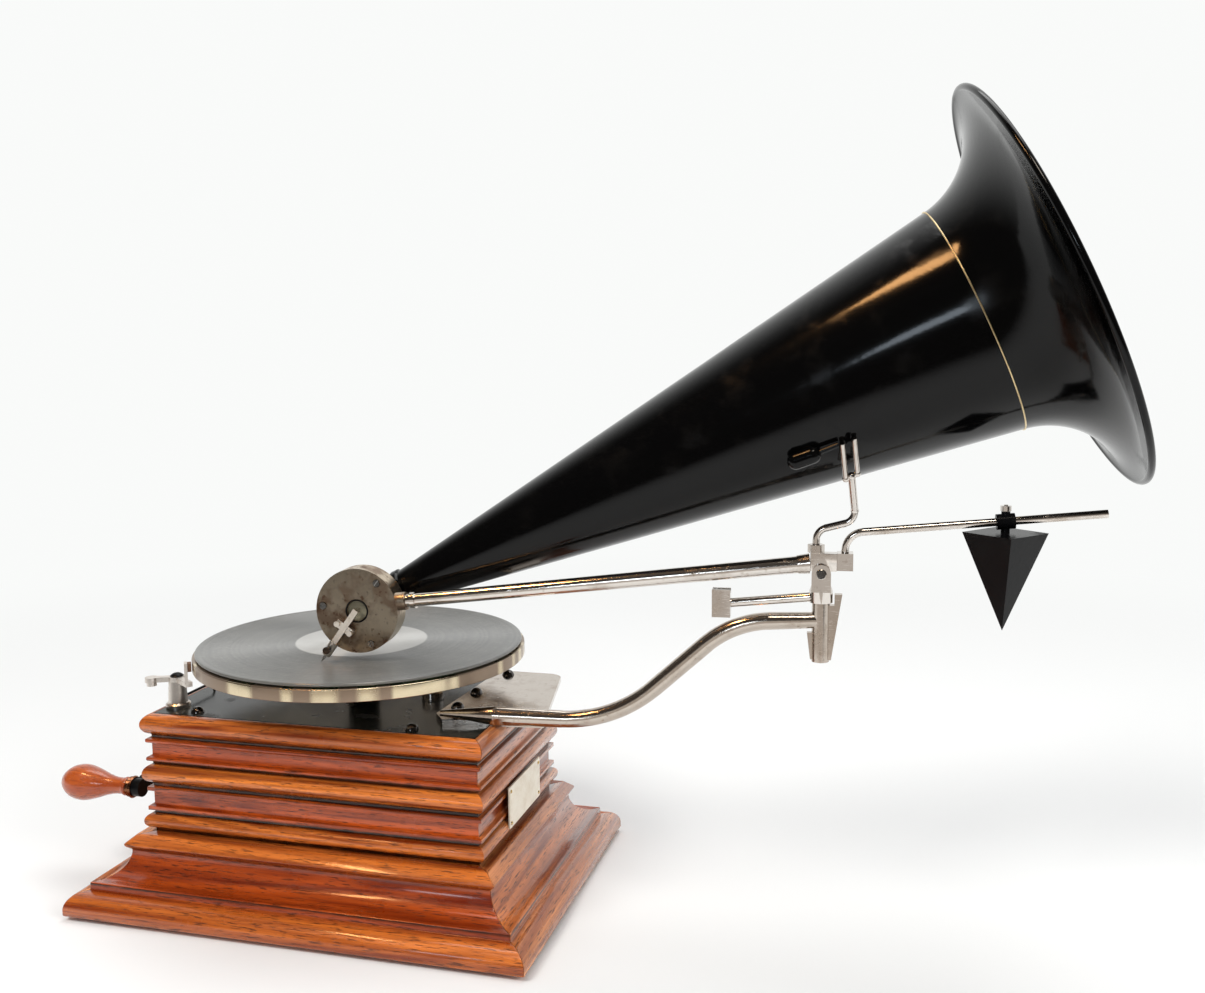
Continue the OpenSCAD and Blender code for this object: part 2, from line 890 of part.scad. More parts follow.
module platter() color("gainsboro")
    at_spindle()
        difference() {
            r = platter_d / 2;
            rotate_extrude()
                polygon([[0, bush_top + clear], [hub_d / 2, bush_top + clear], [hub_d / 2, web_z],
                    [r - platter_rim, web_z], [r - platter_rim, rim_z], [r - 0.9, rim_z], [r, rim_z + 0.9],
                    [r, rim_z + 1.8], [r - 0.5, rim_z + 2.3], [r - 0.5, platter_top - 2.3],
                    [r, platter_top - 1.8], [r, platter_top - 0.9],
                    [r - 0.9, platter_top], [0, platter_top]]);
            cylinder(d = spindle_d, h = 2 * platter_top);
        }

// Flat ring round the spindle
module flat_disc(d, z, t) {
    at_spindle()
        difference() {
            translate([0, 0, z])
                cylinder(d = d, h = t);
            translate([0, 0, z - over])
                cylinder(d = spindle_d + 2 * run, h = t + 2 * over);
        }
}

module felt_mat() color("darkgreen")
    flat_disc(record_d - 5, platter_top, felt_t);

module record() color("gray")
    flat_disc(record_d, felt_top, record_t);

// Spring motor

module motor_plate(z) {
    difference() {
        translate([-motor_plate_w / 2, -motor_plate_d / 2, z])
            cube([motor_plate_w, motor_plate_d, motor_plate_t]);
        at_spindle()
            translate([0, 0, z - over])
                cylinder(d = spindle_d + 2 * run, h = motor_plate_t + 2 * over);
        at_barrel()
            translate([0, 0, z - over])
                cylinder(d = arbor_d + 2 * run, h = motor_plate_t + 2 * over);
        at_governor()
            translate([0, 0, z - over])
                cylinder(d = governor_d + 2 * run, h = motor_plate_t + 2 * over);
    }
}

module at_pillars() {
    for (sx = [-1, 1], sy = [-1, 1])
        translate([sx * (motor_plate_w / 2 - pillar_in), sy * (motor_plate_d / 2 - pillar_in), 0])
            children();
}

module upper_plate() color("khaki") {
    difference() {
        motor_plate(high_plate_z);
        translate([regulator_x, spindle_y, high_plate_z - over])
            cylinder(d = regulator_d + 2 * run, h = motor_plate_t + 2 * over);
    }
    at_barrel()
        translate([0, click_reach, ratchet_z - clear])
            cylinder(d = click_stud_d, h = high_plate_z - ratchet_z + clear);
}

module lower_plate() color("khaki")
    motor_plate(low_plate_z);

module pillars() color("darkgoldenrod")
    at_pillars()
        translate([0, 0, low_plate_top])
            cylinder(d = pillar_d, h = high_plate_z - low_plate_top);

module spring_barrel() color("goldenrod")
    at_barrel()
        difference() {
            union() {
                translate([0, 0, great_z])
                    linear_extrude(great_t)
                        toothed(great_teeth, drive_m);
                translate([0, 0, barrel_z])
                    cylinder(d = barrel_d, h = barrel_h);
            }
            translate([0, 0, barrel_z])
                cylinder(d = barrel_d - 2 * barrel_wall, h = barrel_h + over);
            cylinder(d = arbor_d + 2 * run, h = barrel_top);
        }

module barrel_cover() color("goldenrod")
    at_barrel()
        difference() {
            translate([0, 0, barrel_top - cover_t])
                cylinder(d = barrel_d - 2 * barrel_wall, h = cover_t);
            cylinder(d = arbor_d + 2 * run, h = barrel_top + over);
        }

// Ribbon wound from the arbor out to the barrel's wall
module mainspring() color("slategray")
    at_barrel()
        translate([0, 0, barrel_z + clear]) {
            ribbon = 0.8;
            inner = arbor_d / 2 + 2.5;
            outer = barrel_d / 2 - barrel_wall - ribbon - clear;
            steps = spring_turns * 16;
            turns = [for (k = [0 : steps])
                [360 * spring_turns * k / steps, inner + (outer - inner) * k / steps]];
            linear_extrude(barrel_h - cover_t - 2 * clear)
                polygon(concat(
                    [for (p = turns) p[1] * [cos(p[0]), sin(p[0])]],
                    [for (k = [steps : -1 : 0])
                        (turns[k][1] + ribbon) * [cos(turns[k][0]), sin(turns[k][0])]]));
        }

// Arbor with the ratchet cut on it
module winding_arbor() color("silver")
    at_barrel() {
        teeth = 16;
        translate([0, 0, low_plate_z])
            cylinder(d = arbor_d, h = board_z - low_plate_z);
        translate([0, 0, ratchet_z])
            linear_extrude(ratchet_t)
                polygon([for (k = [0 : teeth - 1]) for (f = [[ratchet_r - 2, 0], [ratchet_r, 0.08]])
                    f[0] * [cos(360 / teeth * (k + f[1])), sin(360 / teeth * (k + f[1]))]]);
    }

// Wheel with teeth standing on its face
module winding_wheel() color("goldenrod")
    at_barrel()
        difference() {
            disc_top = wind_plane - 1.1 * wind_m;
            union() {
                translate([0, 0, disc_top - wind_disc_t])
                    cylinder(r = wind_pitch_r + wind_face / 2, h = wind_disc_t);
                translate([0, 0, barrel_top + clear])
                    cylinder(d = arbor_d + 8, h = disc_top - barrel_top - clear);
                for (k = [0 : wind_teeth - 1])
                    rotate([0, 0, 180 + 360 / wind_teeth * k])
                        translate([wind_pitch_r - wind_face / 2, 0, disc_top - 0.2])
                            rotate([90, 0, 90])
                                linear_extrude(wind_face)
                                    polygon(wind_m * [[-0.72, 0], [0.72, 0], [0.34, 2.05], [-0.34, 2.05]]);
            }
            cylinder(d = arbor_d, h = board_z);
        }

module governor_shaft() color("silver")
    at_governor() {
        translate([0, 0, low_plate_z])
            cylinder(d = governor_d, h = board_z - low_plate_z);
        translate([0, 0, fast_z - leaf_extra])
            linear_extrude(fast_t + 2 * leaf_extra)
                toothed(fast_leaves, fast_m, 180 / fast_leaves);
        translate([0, 0, disc_z])
            cylinder(d = governor_disc_d, h = disc_t);
        for (z = [disc_z - collar_h, disc_z - spring_span - collar_h])
            translate([0, 0, z])
                cylinder(d = governor_d + 4, h = collar_h);
    }

module around_governor() {
    for (k = [0 : 2])
        at_governor()
            rotate([0, 0, 120 * k])
                translate([0, 0, disc_z - spring_span / 2 - collar_h / 2])
                    children();
}

spring_in = governor_d / 2 + 2;
bow_r = (pow(spring_span / 2, 2) + pow(spring_bow, 2)) / (2 * spring_bow);
weight_in = spring_in + spring_bow + spring_t;

module governor_springs() color("steelblue")
    around_governor()
        rotate([90, 0, 0])
            linear_extrude(spring_w, center = true)
                difference() {
                    translate([weight_in - spring_t - bow_r, 0])
                        circle(bow_r + spring_t);
                    translate([weight_in - spring_t - bow_r, 0])
                        circle(bow_r);
                    translate([spring_in - 4 * bow_r, -2 * bow_r])
                        square(4 * bow_r);
                }

module governor_weights() color("gray")
    around_governor()
        translate([weight_in, 0, 0])
            rotate([0, 90, 0])
                cylinder(r = weight_r, h = weight_t);

module regulator_screw() color("silver")
    translate([regulator_x, spindle_y, 0]) {
        pad_top = disc_z + disc_t + clear + pad_t;
        translate([0, 0, pad_top])
            cylinder(d = regulator_d, h = case_top + clear - pad_top);
        translate([0, 0, case_top + clear])
            cylinder(d = regulator_head_d, h = 4);
        translate([0, 0, case_top + clear + 4])
            cylinder(d1 = regulator_head_d, d2 = regulator_head_d - 3, h = 1.5);
    }

module friction_pad() color("tan")
    translate([regulator_x, spindle_y, disc_z + disc_t + clear])
        cylinder(d = pad_d, h = pad_t);

// Click that rides on the ratchet's tips
module click() color("silver")
    at_barrel()
        translate([0, 0, ratchet_z]) {
            tip = ratchet_r + clear;
            tip_at = tip * [cos(143), sin(143)];
            difference() {
                union() {
                    translate([0, click_reach, 0])
                        cylinder(r = click_hub_r, h = ratchet_t);
                    linear_extrude(ratchet_t)
                        polygon([[-3.4, click_reach + 2], [-3.8, click_reach - 2], tip_at,
                            (tip + 3) * [cos(146), sin(146)]]);
                }
                translate([0, click_reach, -over])
                    cylinder(d = click_stud_d + 2 * run, h = ratchet_t + 2 * over);
            }
        }

// Crank

module crank_bush() color("silver")
    at_crank()
        difference() {
            union() {
                translate([0, 0, case_w / 2 - inner_in])
                    cylinder(d = sleeve_d, h = inner_in - bead_in);
                translate([0, 0, -wall_x])
                    cylinder(d = flange_d, h = flange_t);
            }
            cylinder(d = crank_d + 2 * run, h = case_w);
        }

module crank() color("dimgray")
    at_crank() {
        inner_end = -(barrel_x - wind_pitch_r) - wind_face / 2;
        translate([0, 0, inner_end])
            cylinder(d = crank_d, h = lap - crank_arm_x - inner_end);
        translate([0, 0, inner_end])
            linear_extrude(wind_face)
                toothed(wind_leaves, wind_m, 180 / wind_leaves);
        translate([0, 0, -crank_arm_x])
            rotate([0, 0, -crank_rest]) {
                cylinder(d = crank_d + 7, h = crank_arm_t);
                translate([0, -crank_throw, 0])
                    cylinder(d = crank_d + 3, h = crank_arm_t);
                linear_extrude(crank_arm_t)
                    polygon([[-crank_d / 2 - 1, 0], [crank_d / 2 + 1, 0], [crank_d / 2, -crank_throw],
                        [-crank_d / 2, -crank_throw]]);
                translate([0, -crank_throw, crank_arm_t - lap])
                    cylinder(d = crank_d - 2, h = lap + ferrule_l + handle_l * 0.7);
            }
    }

module at_handle() {
    at_crank()
        rotate([0, 0, -crank_rest])
            translate([0, -crank_throw, -handle_x])
                children();
}

module crank_ferrule() color("goldenrod")
    at_handle()
        difference() {
            rotate_extrude()
                polygon([[0, -ferrule_l - clear], [5.6, -ferrule_l - clear], [6.2, -ferrule_l + 0.6],
                    [5, -ferrule_l + 1.6], [5.6, -1.2], [4.8, -clear], [0, -clear]]);
            translate([0, 0, -ferrule_l - over])
                cylinder(d = crank_d - 2, h = ferrule_l + 2 * over);
        }

// Pear-shaped turned handle
module crank_handle() color("firebrick")
    at_handle()
        difference() {
            swell = 0.66 * handle_l;
            rotate_extrude()
                intersection() {
                    union() {
                        translate([0, swell])
                            scale(handle_d / 2)
                                circle(1);
                        polygon([[0, 0], [5, 0], [5.4, 1.4], [4.6, 3], [4.8, 0.2 * handle_l],
                            [6.2, 0.33 * handle_l], [0.43 * handle_d, 0.52 * handle_l],
                            [0.49 * handle_d, 0.6 * handle_l], [0.43 * handle_d, 0.79 * handle_l],
                            [0.27 * handle_d, 0.93 * handle_l], [0.1 * handle_d, handle_l], [0, handle_l]]);
                    }
                    square([handle_d, handle_l]);
                }
            translate([0, 0, -over])
                cylinder(d = crank_d - 2 + 2 * run, h = 0.72 * handle_l + over);
        }

// Brake

brake_turn = 8.4;
brake_spigot_d = 5;
brake_spigot_l = 5;
brake_screw_l = 4;
brake_cap_h = 1.6;
wire_r = 0.7;
wire_z = 4;
wire_in = 3;
stud_d = 4;
lever_hub_r = 4.4;
tab_reach = 13;
pad_w = 5.2;
brake_pad_t = 2;
pad_r = platter_d / 2 + clear;
rim_to_pad = atan2(brake_y - spindle_y, brake_x - spindle_x) + brake_turn;
pad_at = [spindle_x - brake_x, spindle_y - brake_y]
    + (pad_r + brake_pad_t) * [cos(rim_to_pad), sin(rim_to_pad)];
pad_arm = norm(pad_at);
pad_aim = atan2(pad_at[1], pad_at[0]);

module brake_post() color("silver")
    at_brake()
        difference() {
            rotate_extrude()
                polygon([[0, -brake_spigot_l], [brake_spigot_d / 2, -brake_spigot_l], [brake_spigot_d / 2, 0],
                    [brake_foot_d / 2, 0], [brake_foot_d / 2, 1.6], [brake_foot_d / 2 - 0.8, 2.4],
                    [brake_foot_d / 2 - 1.4, 2.6], [lever_hub_r, brake_h], [stud_d / 2, brake_h],
                    [stud_d / 2, brake_h + lever_t + clear], [0, brake_h + lever_t + clear]]);
            translate([0, 0, brake_h + lever_t - brake_screw_l])
                cylinder(d = screw_hole_d, h = brake_screw_l + 1);
            translate([0, brake_foot_d / 2 - wire_in - lap - clear, wire_z])
                rotate([-90, 0, 0])
                    cylinder(r = wire_r + run, h = brake_foot_d);
        }

module brake_screw() color("black")
    at_brake()
        translate([0, 0, brake_h + lever_t + clear])
            dome_screw(screw_head_d, brake_cap_h, brake_screw_l);

module brake_spring() color("black")
    at_brake() {
        reach = 34;
        turn_r = 3;
        start = brake_foot_d / 2 - wire_in;
        translate([0, start, wire_z])
            rotate([-90, 0, 0])
                straight(wire_r, reach - start - turn_r);
        translate([0, reach - turn_r, wire_z])
            rotate([-90, 90, 0])
                bend(wire_r, turn_r, 90);
        translate([0, reach, 0])
            cylinder(r = wire_r, h = wire_z - turn_r + lap);
    }

// Lever with its thumb tab, and an upright that carries the pad
module brake_lever() color("silver")
    at_brake() {
        translate([0, 0, brake_h])
            linear_extrude(lever_t)
                difference() {
                    union() {
                        circle(lever_hub_r);
                        rotate(pad_aim)
                            translate([0, -1.8])
                                square([pad_arm + 1.5, 3.6]);
                        rotate(205)
                            translate([0, -2])
                                square([tab_reach, 4]);
                        rotate(205)
                            translate([tab_reach, 0])
                                circle(3.4);
                    }
                    circle(d = stud_d + 2 * run);
                }
        rotate([0, 0, 205])
            translate([tab_reach, 0, brake_h - 2])
                cylinder(r = 2.6, h = 2 + lever_t / 2);
        translate([pad_at[0], pad_at[1], brake_h + lever_t / 2])
            rotate([0, 0, rim_to_pad])
                translate([0, -pad_w / 2, 0])
                    cube([1.6, pad_w, rim_z + platter_h - 1.5 - case_top - brake_h - lever_t / 2]);
    }

module brake_pad() color("saddlebrown")
    at_brake()
        translate([pad_at[0], pad_at[1], rim_z - case_top + 0.6])
            rotate([0, 0, rim_to_pad])
                intersection() {
                    translate([-brake_pad_t, -pad_w / 2, 0])
                        cube([brake_pad_t, pad_w, platter_h - 2.4]);
                    translate([-pad_r - brake_pad_t, 0, -over])
                        difference() {
                            cylinder(r = pad_r + 3, h = platter_h + 2 * over);
                            translate([0, 0, -over])
                                cylinder(r = pad_r, h = platter_h + 4 * over);
                        }
                }

// Swivel head

module swivel_head() color("silver")
    arm_frame()
        difference() {
            union() {
                translate([0, 0, socket_z + 1])
                    cylinder(d = journal_d, h = collar_z - socket_z);
                translate([0, 0, collar_z])
                    cylinder(d = collar_d, h = collar_top - collar_z);
                translate([0, 0, collar_top])
                    cylinder(d1 = collar_d, d2 = collar_d - 1.4, h = 2);
                for (side = [-1, 1])
                    translate([0, side * (cheek_gap + cheek_t / 2), 0])
                        rotate([90, 0, 0])
                            linear_extrude(cheek_t, center = true) {
                                translate([0, hinge_z])
                                    circle(cheek_r);
                                translate([-cheek_r, collar_top])
                                    square([2 * cheek_r, hinge_z - collar_top]);
                            }
                rest_arm();
            }
            translate([0, 0, hinge_z])
                rotate([90, 0, 0])
                    cylinder(d = hinge_d, h = 2 * collar_d, center = true);
        }

// Short side rod with an upright block that catches the lowered arm
module rest_arm() {
    root = [-2, 0, collar_z + 2.6];
    tip = root - rest_l * [cos(rest_slope), 0, sin(rest_slope)];
    rod(tip, root, rest_d / 2);
    translate([tip[0] - rest_block[0] / 2 - 1.5, 0, tip[2]])
        difference() {
            translate([-rest_block[0] / 2, -rest_block[1] / 2, -rest_block[2] / 2])
                cube(rest_block + [1.5, 0, 0]);
            translate([0, 0, rest_block[2] / 2])
                rotate([0, 90, 0])
                    cylinder(d = 4, h = 2 * rest_block[0], center = true);
        }
}

module hinge_pin() color("gray")
    arm_frame()
        translate([0, 0, hinge_z])
            rotate([90, 0, 0]) {
                reach = 2 * (cheek_gap + cheek_t);
                cylinder(d = hinge_d, h = reach, center = true);
                translate([0, 0, reach / 2])
                    cylinder(d1 = hinge_d + 2, d2 = hinge_d + 1, h = 1.2);
                translate([0, 0, -reach / 2 - 1.2])
                    cylinder(d1 = hinge_d + 1, d2 = hinge_d + 2, h = 1.2);
            }

// Travelling arm

module arm_knuckle() color("silver")
    arm_frame()
        difference() {
            union() {
                rotate([90, 0, 0])
                    linear_extrude(knuckle_t, center = true) {
                        translate([0, hinge_z])
                            circle(cheek_r);
                        translate([tube_x, hinge_z + 1])
                            square([rod_block_x - tube_x, knuckle_top - hinge_z - 1]);
                    }
                translate([prop_x, 0, knuckle_top])
                    cylinder(d = nut_d, h = nut_h, $fn = 6);
            }
            translate([0, 0, hinge_z])
                rotate([90, 0, 0])
                    cylinder(d = hinge_d + 2 * run, h = 2 * knuckle_t, center = true);
        }

tube_from = [tube_x, 0, tube_z];
tube_to = [tube_end_x, 0, tube_end_z];
tube_way = (tube_to - tube_from) / norm(tube_to - tube_from);

module along_tube() {
    translate(tube_from)
        rotate([0, acos(tube_way[2]), atan2(tube_way[1], tube_way[0])])
            children();
}

module travelling_arm() color("silver")
    arm_frame()
        difference() {
            along_tube() {
                length = norm(tube_to - tube_from);
                cylinder(d1 = tube_d, d2 = tube_tip_d, h = length);
                cylinder(d1 = tube_d + 1.6, d2 = tube_d + 0.6, h = 6);
                translate([0, 0, length - 5])
                    cylinder(d = tube_tip_d + 1.6, h = 2.5);
            }
            translate([tube_x, -tube_d, tube_z - tube_d])
                cube(2 * tube_d);
        }

module counter_rod() color("silver")
    arm_frame() {
        translate([rod_block_x, -rod_block[1] / 2, rod_block_z])
            cube(rod_block);
        translate([rod_x, 0, rod_foot_z]) {
            straight(rod_d / 2, rod_up);
            translate([0, 0, rod_up]) {
                bend(rod_d / 2, rod_bend_r, rod_turn);
                after_bend(rod_bend_r, rod_turn)
                    straight(rod_d / 2, rod_l);
            }
        }
    }

// Weight frame: on the rod's axis at the weight, X along the rod
module weight_frame() {
    arm_frame()
        translate(rod_start + weight_at * [cos(rod_slope), 0, sin(rod_slope)])
            children();
}

module counterweight() color("black")
    weight_frame() {
        difference() {
            union() {
                rotate([0, 90 - rod_slope, 0])
                    cylinder(r = hanger_r, h = hanger_l, center = true);
                translate([0, 0, -weight_drop - 1])
                    cylinder(d = neck_d, h = weight_drop + 1);
                cylinder(d = neck_d, h = hanger_r + 1);
            }
            rotate([0, 90 - rod_slope, 0])
                cylinder(d = rod_d + 2 * run, h = 2 * hanger_l, center = true);
            cylinder(d = weight_screw_d + 2 * run, h = 2 * hanger_l);
        }
        translate([0, 0, -weight_drop])
            rotate([0, 0, 45])
                inverted_pyramid();
    }

module weight_screw() color("silver")
    weight_frame() {
        translate([0, 0, rod_d / 2 + clear])
            cylinder(d = weight_screw_d, h = hanger_r + 2);
        translate([0, 0, hanger_r + 1 + clear])
            cylinder(d = 5, h = 2.4);
    }

module inverted_pyramid() {
    half = weight_side / 2;
    polyhedron(
        [[-half, -half, 0], [half, -half, 0], [half, half, 0], [-half, half, 0], [0, 0, -weight_h]],
        [[3, 2, 1, 0], [0, 1, 4], [1, 2, 4], [2, 3, 4], [3, 0, 4]]);
}

// Horn rest

// A point on the horn's skin, in the arm's frame: distance along, turn from below, distance out
function on_horn(s, turn, out) =
    let (down = -(small_r + cone_slope * (s - cone_from) + out) * cos(turn),
        side = -(small_r + cone_slope * (s - cone_from) + out) * sin(turn))
    [elbow_x + s * cos(horn_slope) - down * sin(horn_slope), horn_back + side,
        elbow_z + s * sin(horn_slope) + down * cos(horn_slope)];

prop_bend_r = 6;
prop_first = 75;
prop_level = 9;
prop_second = 78;
rest_foot = [prop_x, 0, knuckle_top + nut_h];
rest_heading = prop_first - prop_second;
rest_mid = [prop_bend_r * (1 - cos(prop_first)), 0, 2 + prop_bend_r * sin(prop_first)];
rest_level = rest_mid + prop_level * [sin(prop_first), 0, cos(prop_first)];
rest_high = rest_foot + rest_level
    + prop_bend_r * [cos(rest_heading) - cos(prop_first), 0, sin(prop_first) - sin(rest_heading)];
fork_top = on_horn(prop_s, prop_turn, prong_out);
fork_at = fork_top + prong_l * (rest_high - fork_top) / norm(rest_high - fork_top);

module horn_rest() color("silver")
    arm_frame() {
        translate(rest_foot) {
            cylinder(d = prop_d, h = 2 + lap);
            translate([0, 0, 2]) {
                bend(prop_d / 2, prop_bend_r, prop_first);
                after_bend(prop_bend_r, prop_first) {
                    straight(prop_d / 2, prop_level);
                    translate([0, 0, prop_level])
                        mirror([1, 0, 0])
                            bend(prop_d / 2, prop_bend_r, prop_second);
                }
            }
        }
        for (joint = [rest_high, fork_at])
            translate(joint)
                sphere(d = prop_d + 0.4);
        rod(rest_high, fork_at, prop_d / 2);
        fork();
    }

// Two prongs that stand either side of the horn's lug
module fork() {
    along = [cos(horn_slope), 0, sin(horn_slope)];
    spread = (fork_gap + prong_r) * along;
    rod(fork_at - spread, fork_at + spread, prong_r + 0.2);
    for (side = [-1, 1]) {
        translate(fork_at + side * spread)
            sphere(prong_r + 0.4);
        rod(fork_at + side * spread, fork_top + side * spread, prong_r);
    }
}

// Horn

module horn_cone() color("black") {
    horn_frame()
        rotate_extrude()
            polygon([[small_r, cone_from], [cone_r, cone_l], [cone_r - sheet_t, cone_l],
                [small_r - sheet_t + cone_slope * collar_l, cone_from + collar_l],
                [elbow_r + run, cone_from + collar_l], [elbow_r + run, cone_from - 2],
                [small_r + 1, cone_from - 2], [small_r + 1.4, cone_from - 1],
                [small_r + 1.4, cone_from + 2], [small_r + 0.4, cone_from + 3]]);
    arm_frame() {
        rod(on_horn(prop_s, prop_turn, -sheet_t / 2), on_horn(prop_s, prop_turn, lug_l), lug_r);
        bulb_from = on_horn(bulb_s - bulb_l, prop_turn, bulb_out);
        bulb_to = on_horn(bulb_s, prop_turn, bulb_out);
        pin_to = on_horn(prop_s - fork_gap - 2 * prong_r - 2 * clear, prop_turn, bulb_out - 0.9);
        d = bulb_to - bulb_from;
        translate(bulb_from)
            rotate([0, acos(d[2] / norm(d)), atan2(d[1], d[0])])
                rotate_extrude()
                    intersection() {
                        union() {
                            circle(bulb_r);
                            square([bulb_r, norm(d)]);
                            translate([0, norm(d)])
                                circle(bulb_r);
                        }
                        translate([0, -bulb_r])
                            square([bulb_r, norm(d) + 2 * bulb_r]);
                    }
        rod(bulb_to, pin_to, pin_r);
    }
}

// Points of the flare: an arc that leaves the cone and turns nearly flat
function flare(r) = [for (k = [0 : flare_steps])
    let (a = cone_lean + (lip_lean - cone_lean) * k / flare_steps)
    [cone_r + flare_r * cos(cone_lean) - r * cos(a), cone_l - flare_r * sin(cone_lean) + r * sin(a)]];

module horn_bell() color("black")
    horn_frame()
        rotate_extrude() {
            outside = flare(flare_r);
            inside = flare(flare_r + sheet_t);
            lip = lip_w * [sin(lip_lean), cos(lip_lean)];
            last = outside[flare_steps] + lip;
            last_in = inside[flare_steps] + lip;
            polygon(concat(outside, [last, last_in],
                [for (k = [flare_steps : -1 : 0]) inside[k]]));
            translate((last + last_in) / 2)
                circle(rim_r);
        }

module elbow() color("silver")
    horn_frame()
        difference() {
            union() {
                elbow_bar(elbow_r, 0);
                cylinder(r = elbow_r, h = cone_from + collar_l);
                translate([0, 0, cone_from - 4])
                    cylinder(r = elbow_r + 1.2, h = 2);
            }
            elbow_bar(elbow_r - 1.3, over);
            translate([0, 0, -0.01])
                cylinder(r = elbow_r - 1.3, h = cone_from + collar_l + over);
        }

// Quarter bend towards the soundbox, with a straight end of the given length
module elbow_bar(r, end) {
    translate([0, -elbow_bend, 0])
        rotate([0, 90, 0])
            rotate_extrude(angle = 90)
                translate([elbow_bend, 0])
                    circle(r);
    neck_l = horn_back - elbow_bend + box_back - neck_gap;
    translate([0, -elbow_bend, -elbow_bend])
        rotate([90, 0, 0])
            cylinder(r = r, h = neck_l + end);
}

// Soundbox

neck_gap = 0;
cavity_r = box_d / 2 - 3.8;
seat_z = box_front - 3.7;
screw_ring_r = box_d / 2 - 3.6;
face_screw_d = 3.6;
face_turns = [53, 173, 293];

module soundbox_back() color("rosybrown") {
    box_frame()
        difference() {
            union() {
                translate([0, 0, box_back])
                    cylinder(d = box_d, h = seat_z - box_back);
                translate([0, 0, box_back])
                    cylinder(d1 = box_d - 6, d2 = box_d - 1, h = 1.4);
            }
            translate([0, 0, seat_z - 1.6])
                cylinder(r = cavity_r, h = 1.6 + over);
            translate([0, 0, box_back - over])
                cylinder(r = elbow_r - 1.3, h = box_t);
        }
    arm_frame()
        difference() {
            along_tube()
                translate([0, 0, norm(tube_to - tube_from)])
                    cylinder(r = boss_r, h = box_d / 2);
            translate([-box_reach, 0, box_z])
                rotate([90, 0, 0]) {
                    cylinder(d = box_d - 1, h = 4 * box_t, center = true);
                    translate([0, 0, seat_z])
                        cylinder(d = box_d + 2 * clear, h = box_t);
                }
        }
}

module diaphragm() color("lavender")
    box_frame()
        rotate_extrude()
            polygon([[0, seat_z + 0.4], [cavity_r, seat_z + 0.4], [cavity_r, seat_z],
                [cavity_r + 1.8, seat_z], [cavity_r + 1.8, seat_z + 1.2], [cavity_r, seat_z + 1.2],
                [cavity_r, seat_z + 0.8], [0, seat_z + 0.8]]);

module soundbox_face() color("rosybrown")
    box_frame()
        difference() {
            translate([0, 0, seat_z])
                cylinder(d = box_d, h = box_front - seat_z);
            translate([0, 0, seat_z - over])
                cylinder(r = cavity_r + 1.8, h = over + 1.2);
            translate([0, 0, seat_z - over])
                cylinder(r = cavity_r, h = over + 2.2);
            translate([0, 0, seat_z - over])
                cylinder(d = box_hole_d, h = 2 * box_t);
            for (turn = face_turns)
                rotate([0, 0, turn])
                    translate([screw_ring_r, 0, box_front - 1.2])
                        cylinder(d = face_screw_d + 0.4, h = 2);
        }

module soundbox_screws() color("silver")
    box_frame()
        for (turn = face_turns)
            rotate([0, 0, turn])
                translate([screw_ring_r, 0, box_front - 1.2])
                    difference() {
                        cylinder(d = face_screw_d, h = 1.9);
                        translate([-face_screw_d, -0.3, 1.2])
                            cube([2 * face_screw_d, 0.6, 2]);
                    }

// Bar from the diaphragm's middle to the chuck, with its pivot block
module stylus_bar() color("silver")
    needle_frame() {
        translate([0, 0, seat_z + 0.8])
            cylinder(r = 1, h = bar_z + bar_t - seat_z - 0.8);
        difference() {
            union() {
                translate([-1.2, -bar_w / 2, bar_z])
                    cube([chuck_from + 2.2, bar_w, bar_t]);
                translate([8.5, -5, box_front])
                    cube([4, 10, bar_out + 1.4]);
                for (side = [-1, 1])
                    translate([10.5, side * 4, box_front])
                        cylinder(r = 1.5, h = bar_out + 3.2);
                translate([chuck_from, 0, bar_z + bar_t / 2])
                    rotate([0, 90, 0])
                        cylinder(r = chuck_r, h = chuck_l);
            }
            translate([chuck_from + chuck_l / 2, 0, bar_z + bar_t / 2])
                cylinder(d = needle_screw_d + 2 * run, h = 2 * chuck_r);
            translate([chuck_from + 2, 0, bar_z + bar_t / 2])
                rotate([0, 90, 0])
                    cylinder(d = needle_d + 2 * run, h = chuck_l);
        }
    }

module needle() color("silver")
    needle_frame()
        translate([chuck_from + 2, 0, bar_z + bar_t / 2])
            rotate([0, 90, 0]) {
                length = needle_reach - chuck_from - 2;
                point = 2.4;
                cylinder(d = needle_d, h = length - point);
                translate([0, 0, length - point])
                    cylinder(d1 = needle_d, d2 = 0.3, h = point);
            }

needle_screw_d = 1.6;

module needle_screw() color("silver")
    needle_frame()
        translate([chuck_from + chuck_l / 2, 0, bar_z + bar_t / 2]) {
            translate([0, 0, needle_d / 2 + clear])
                cylinder(d = needle_screw_d, h = chuck_r + 0.6);
            translate([0, 0, chuck_r + 0.6])
                cylinder(d = 3.8, h = 2.6, $fn = 24);
        }

plinth_rails_long();
plinth_rails_end();
waist_rails_long();
waist_rails_end();
cornice_rails_long();
cornice_rails_end();
bottom_board();
motor_board();
feet();
name_plate();
name_plate_pins();
dome_screws();
support_arm();
spindle_bush();
upper_plate();
lower_plate();
pillars();
crank_bush();
brake_post();
brake_spring();
brake_screw();
spindle();
spindle_wheel();
platter();
felt_mat();
record();
spring_barrel();
barrel_cover();
mainspring();
winding_arbor();
winding_wheel();
governor_shaft();
governor_weights();
governor_springs();
crank();
crank_ferrule();
crank_handle();
brake_lever();
brake_pad();
click();
regulator_screw();
friction_pad();
swivel_head();
hinge_pin();
arm_knuckle();
travelling_arm();
counter_rod();
horn_rest();
horn_cone();
horn_bell();
elbow();
soundbox_back();
soundbox_face();
diaphragm();
soundbox_screws();
stylus_bar();
needle();
needle_screw();
counterweight();
weight_screw();
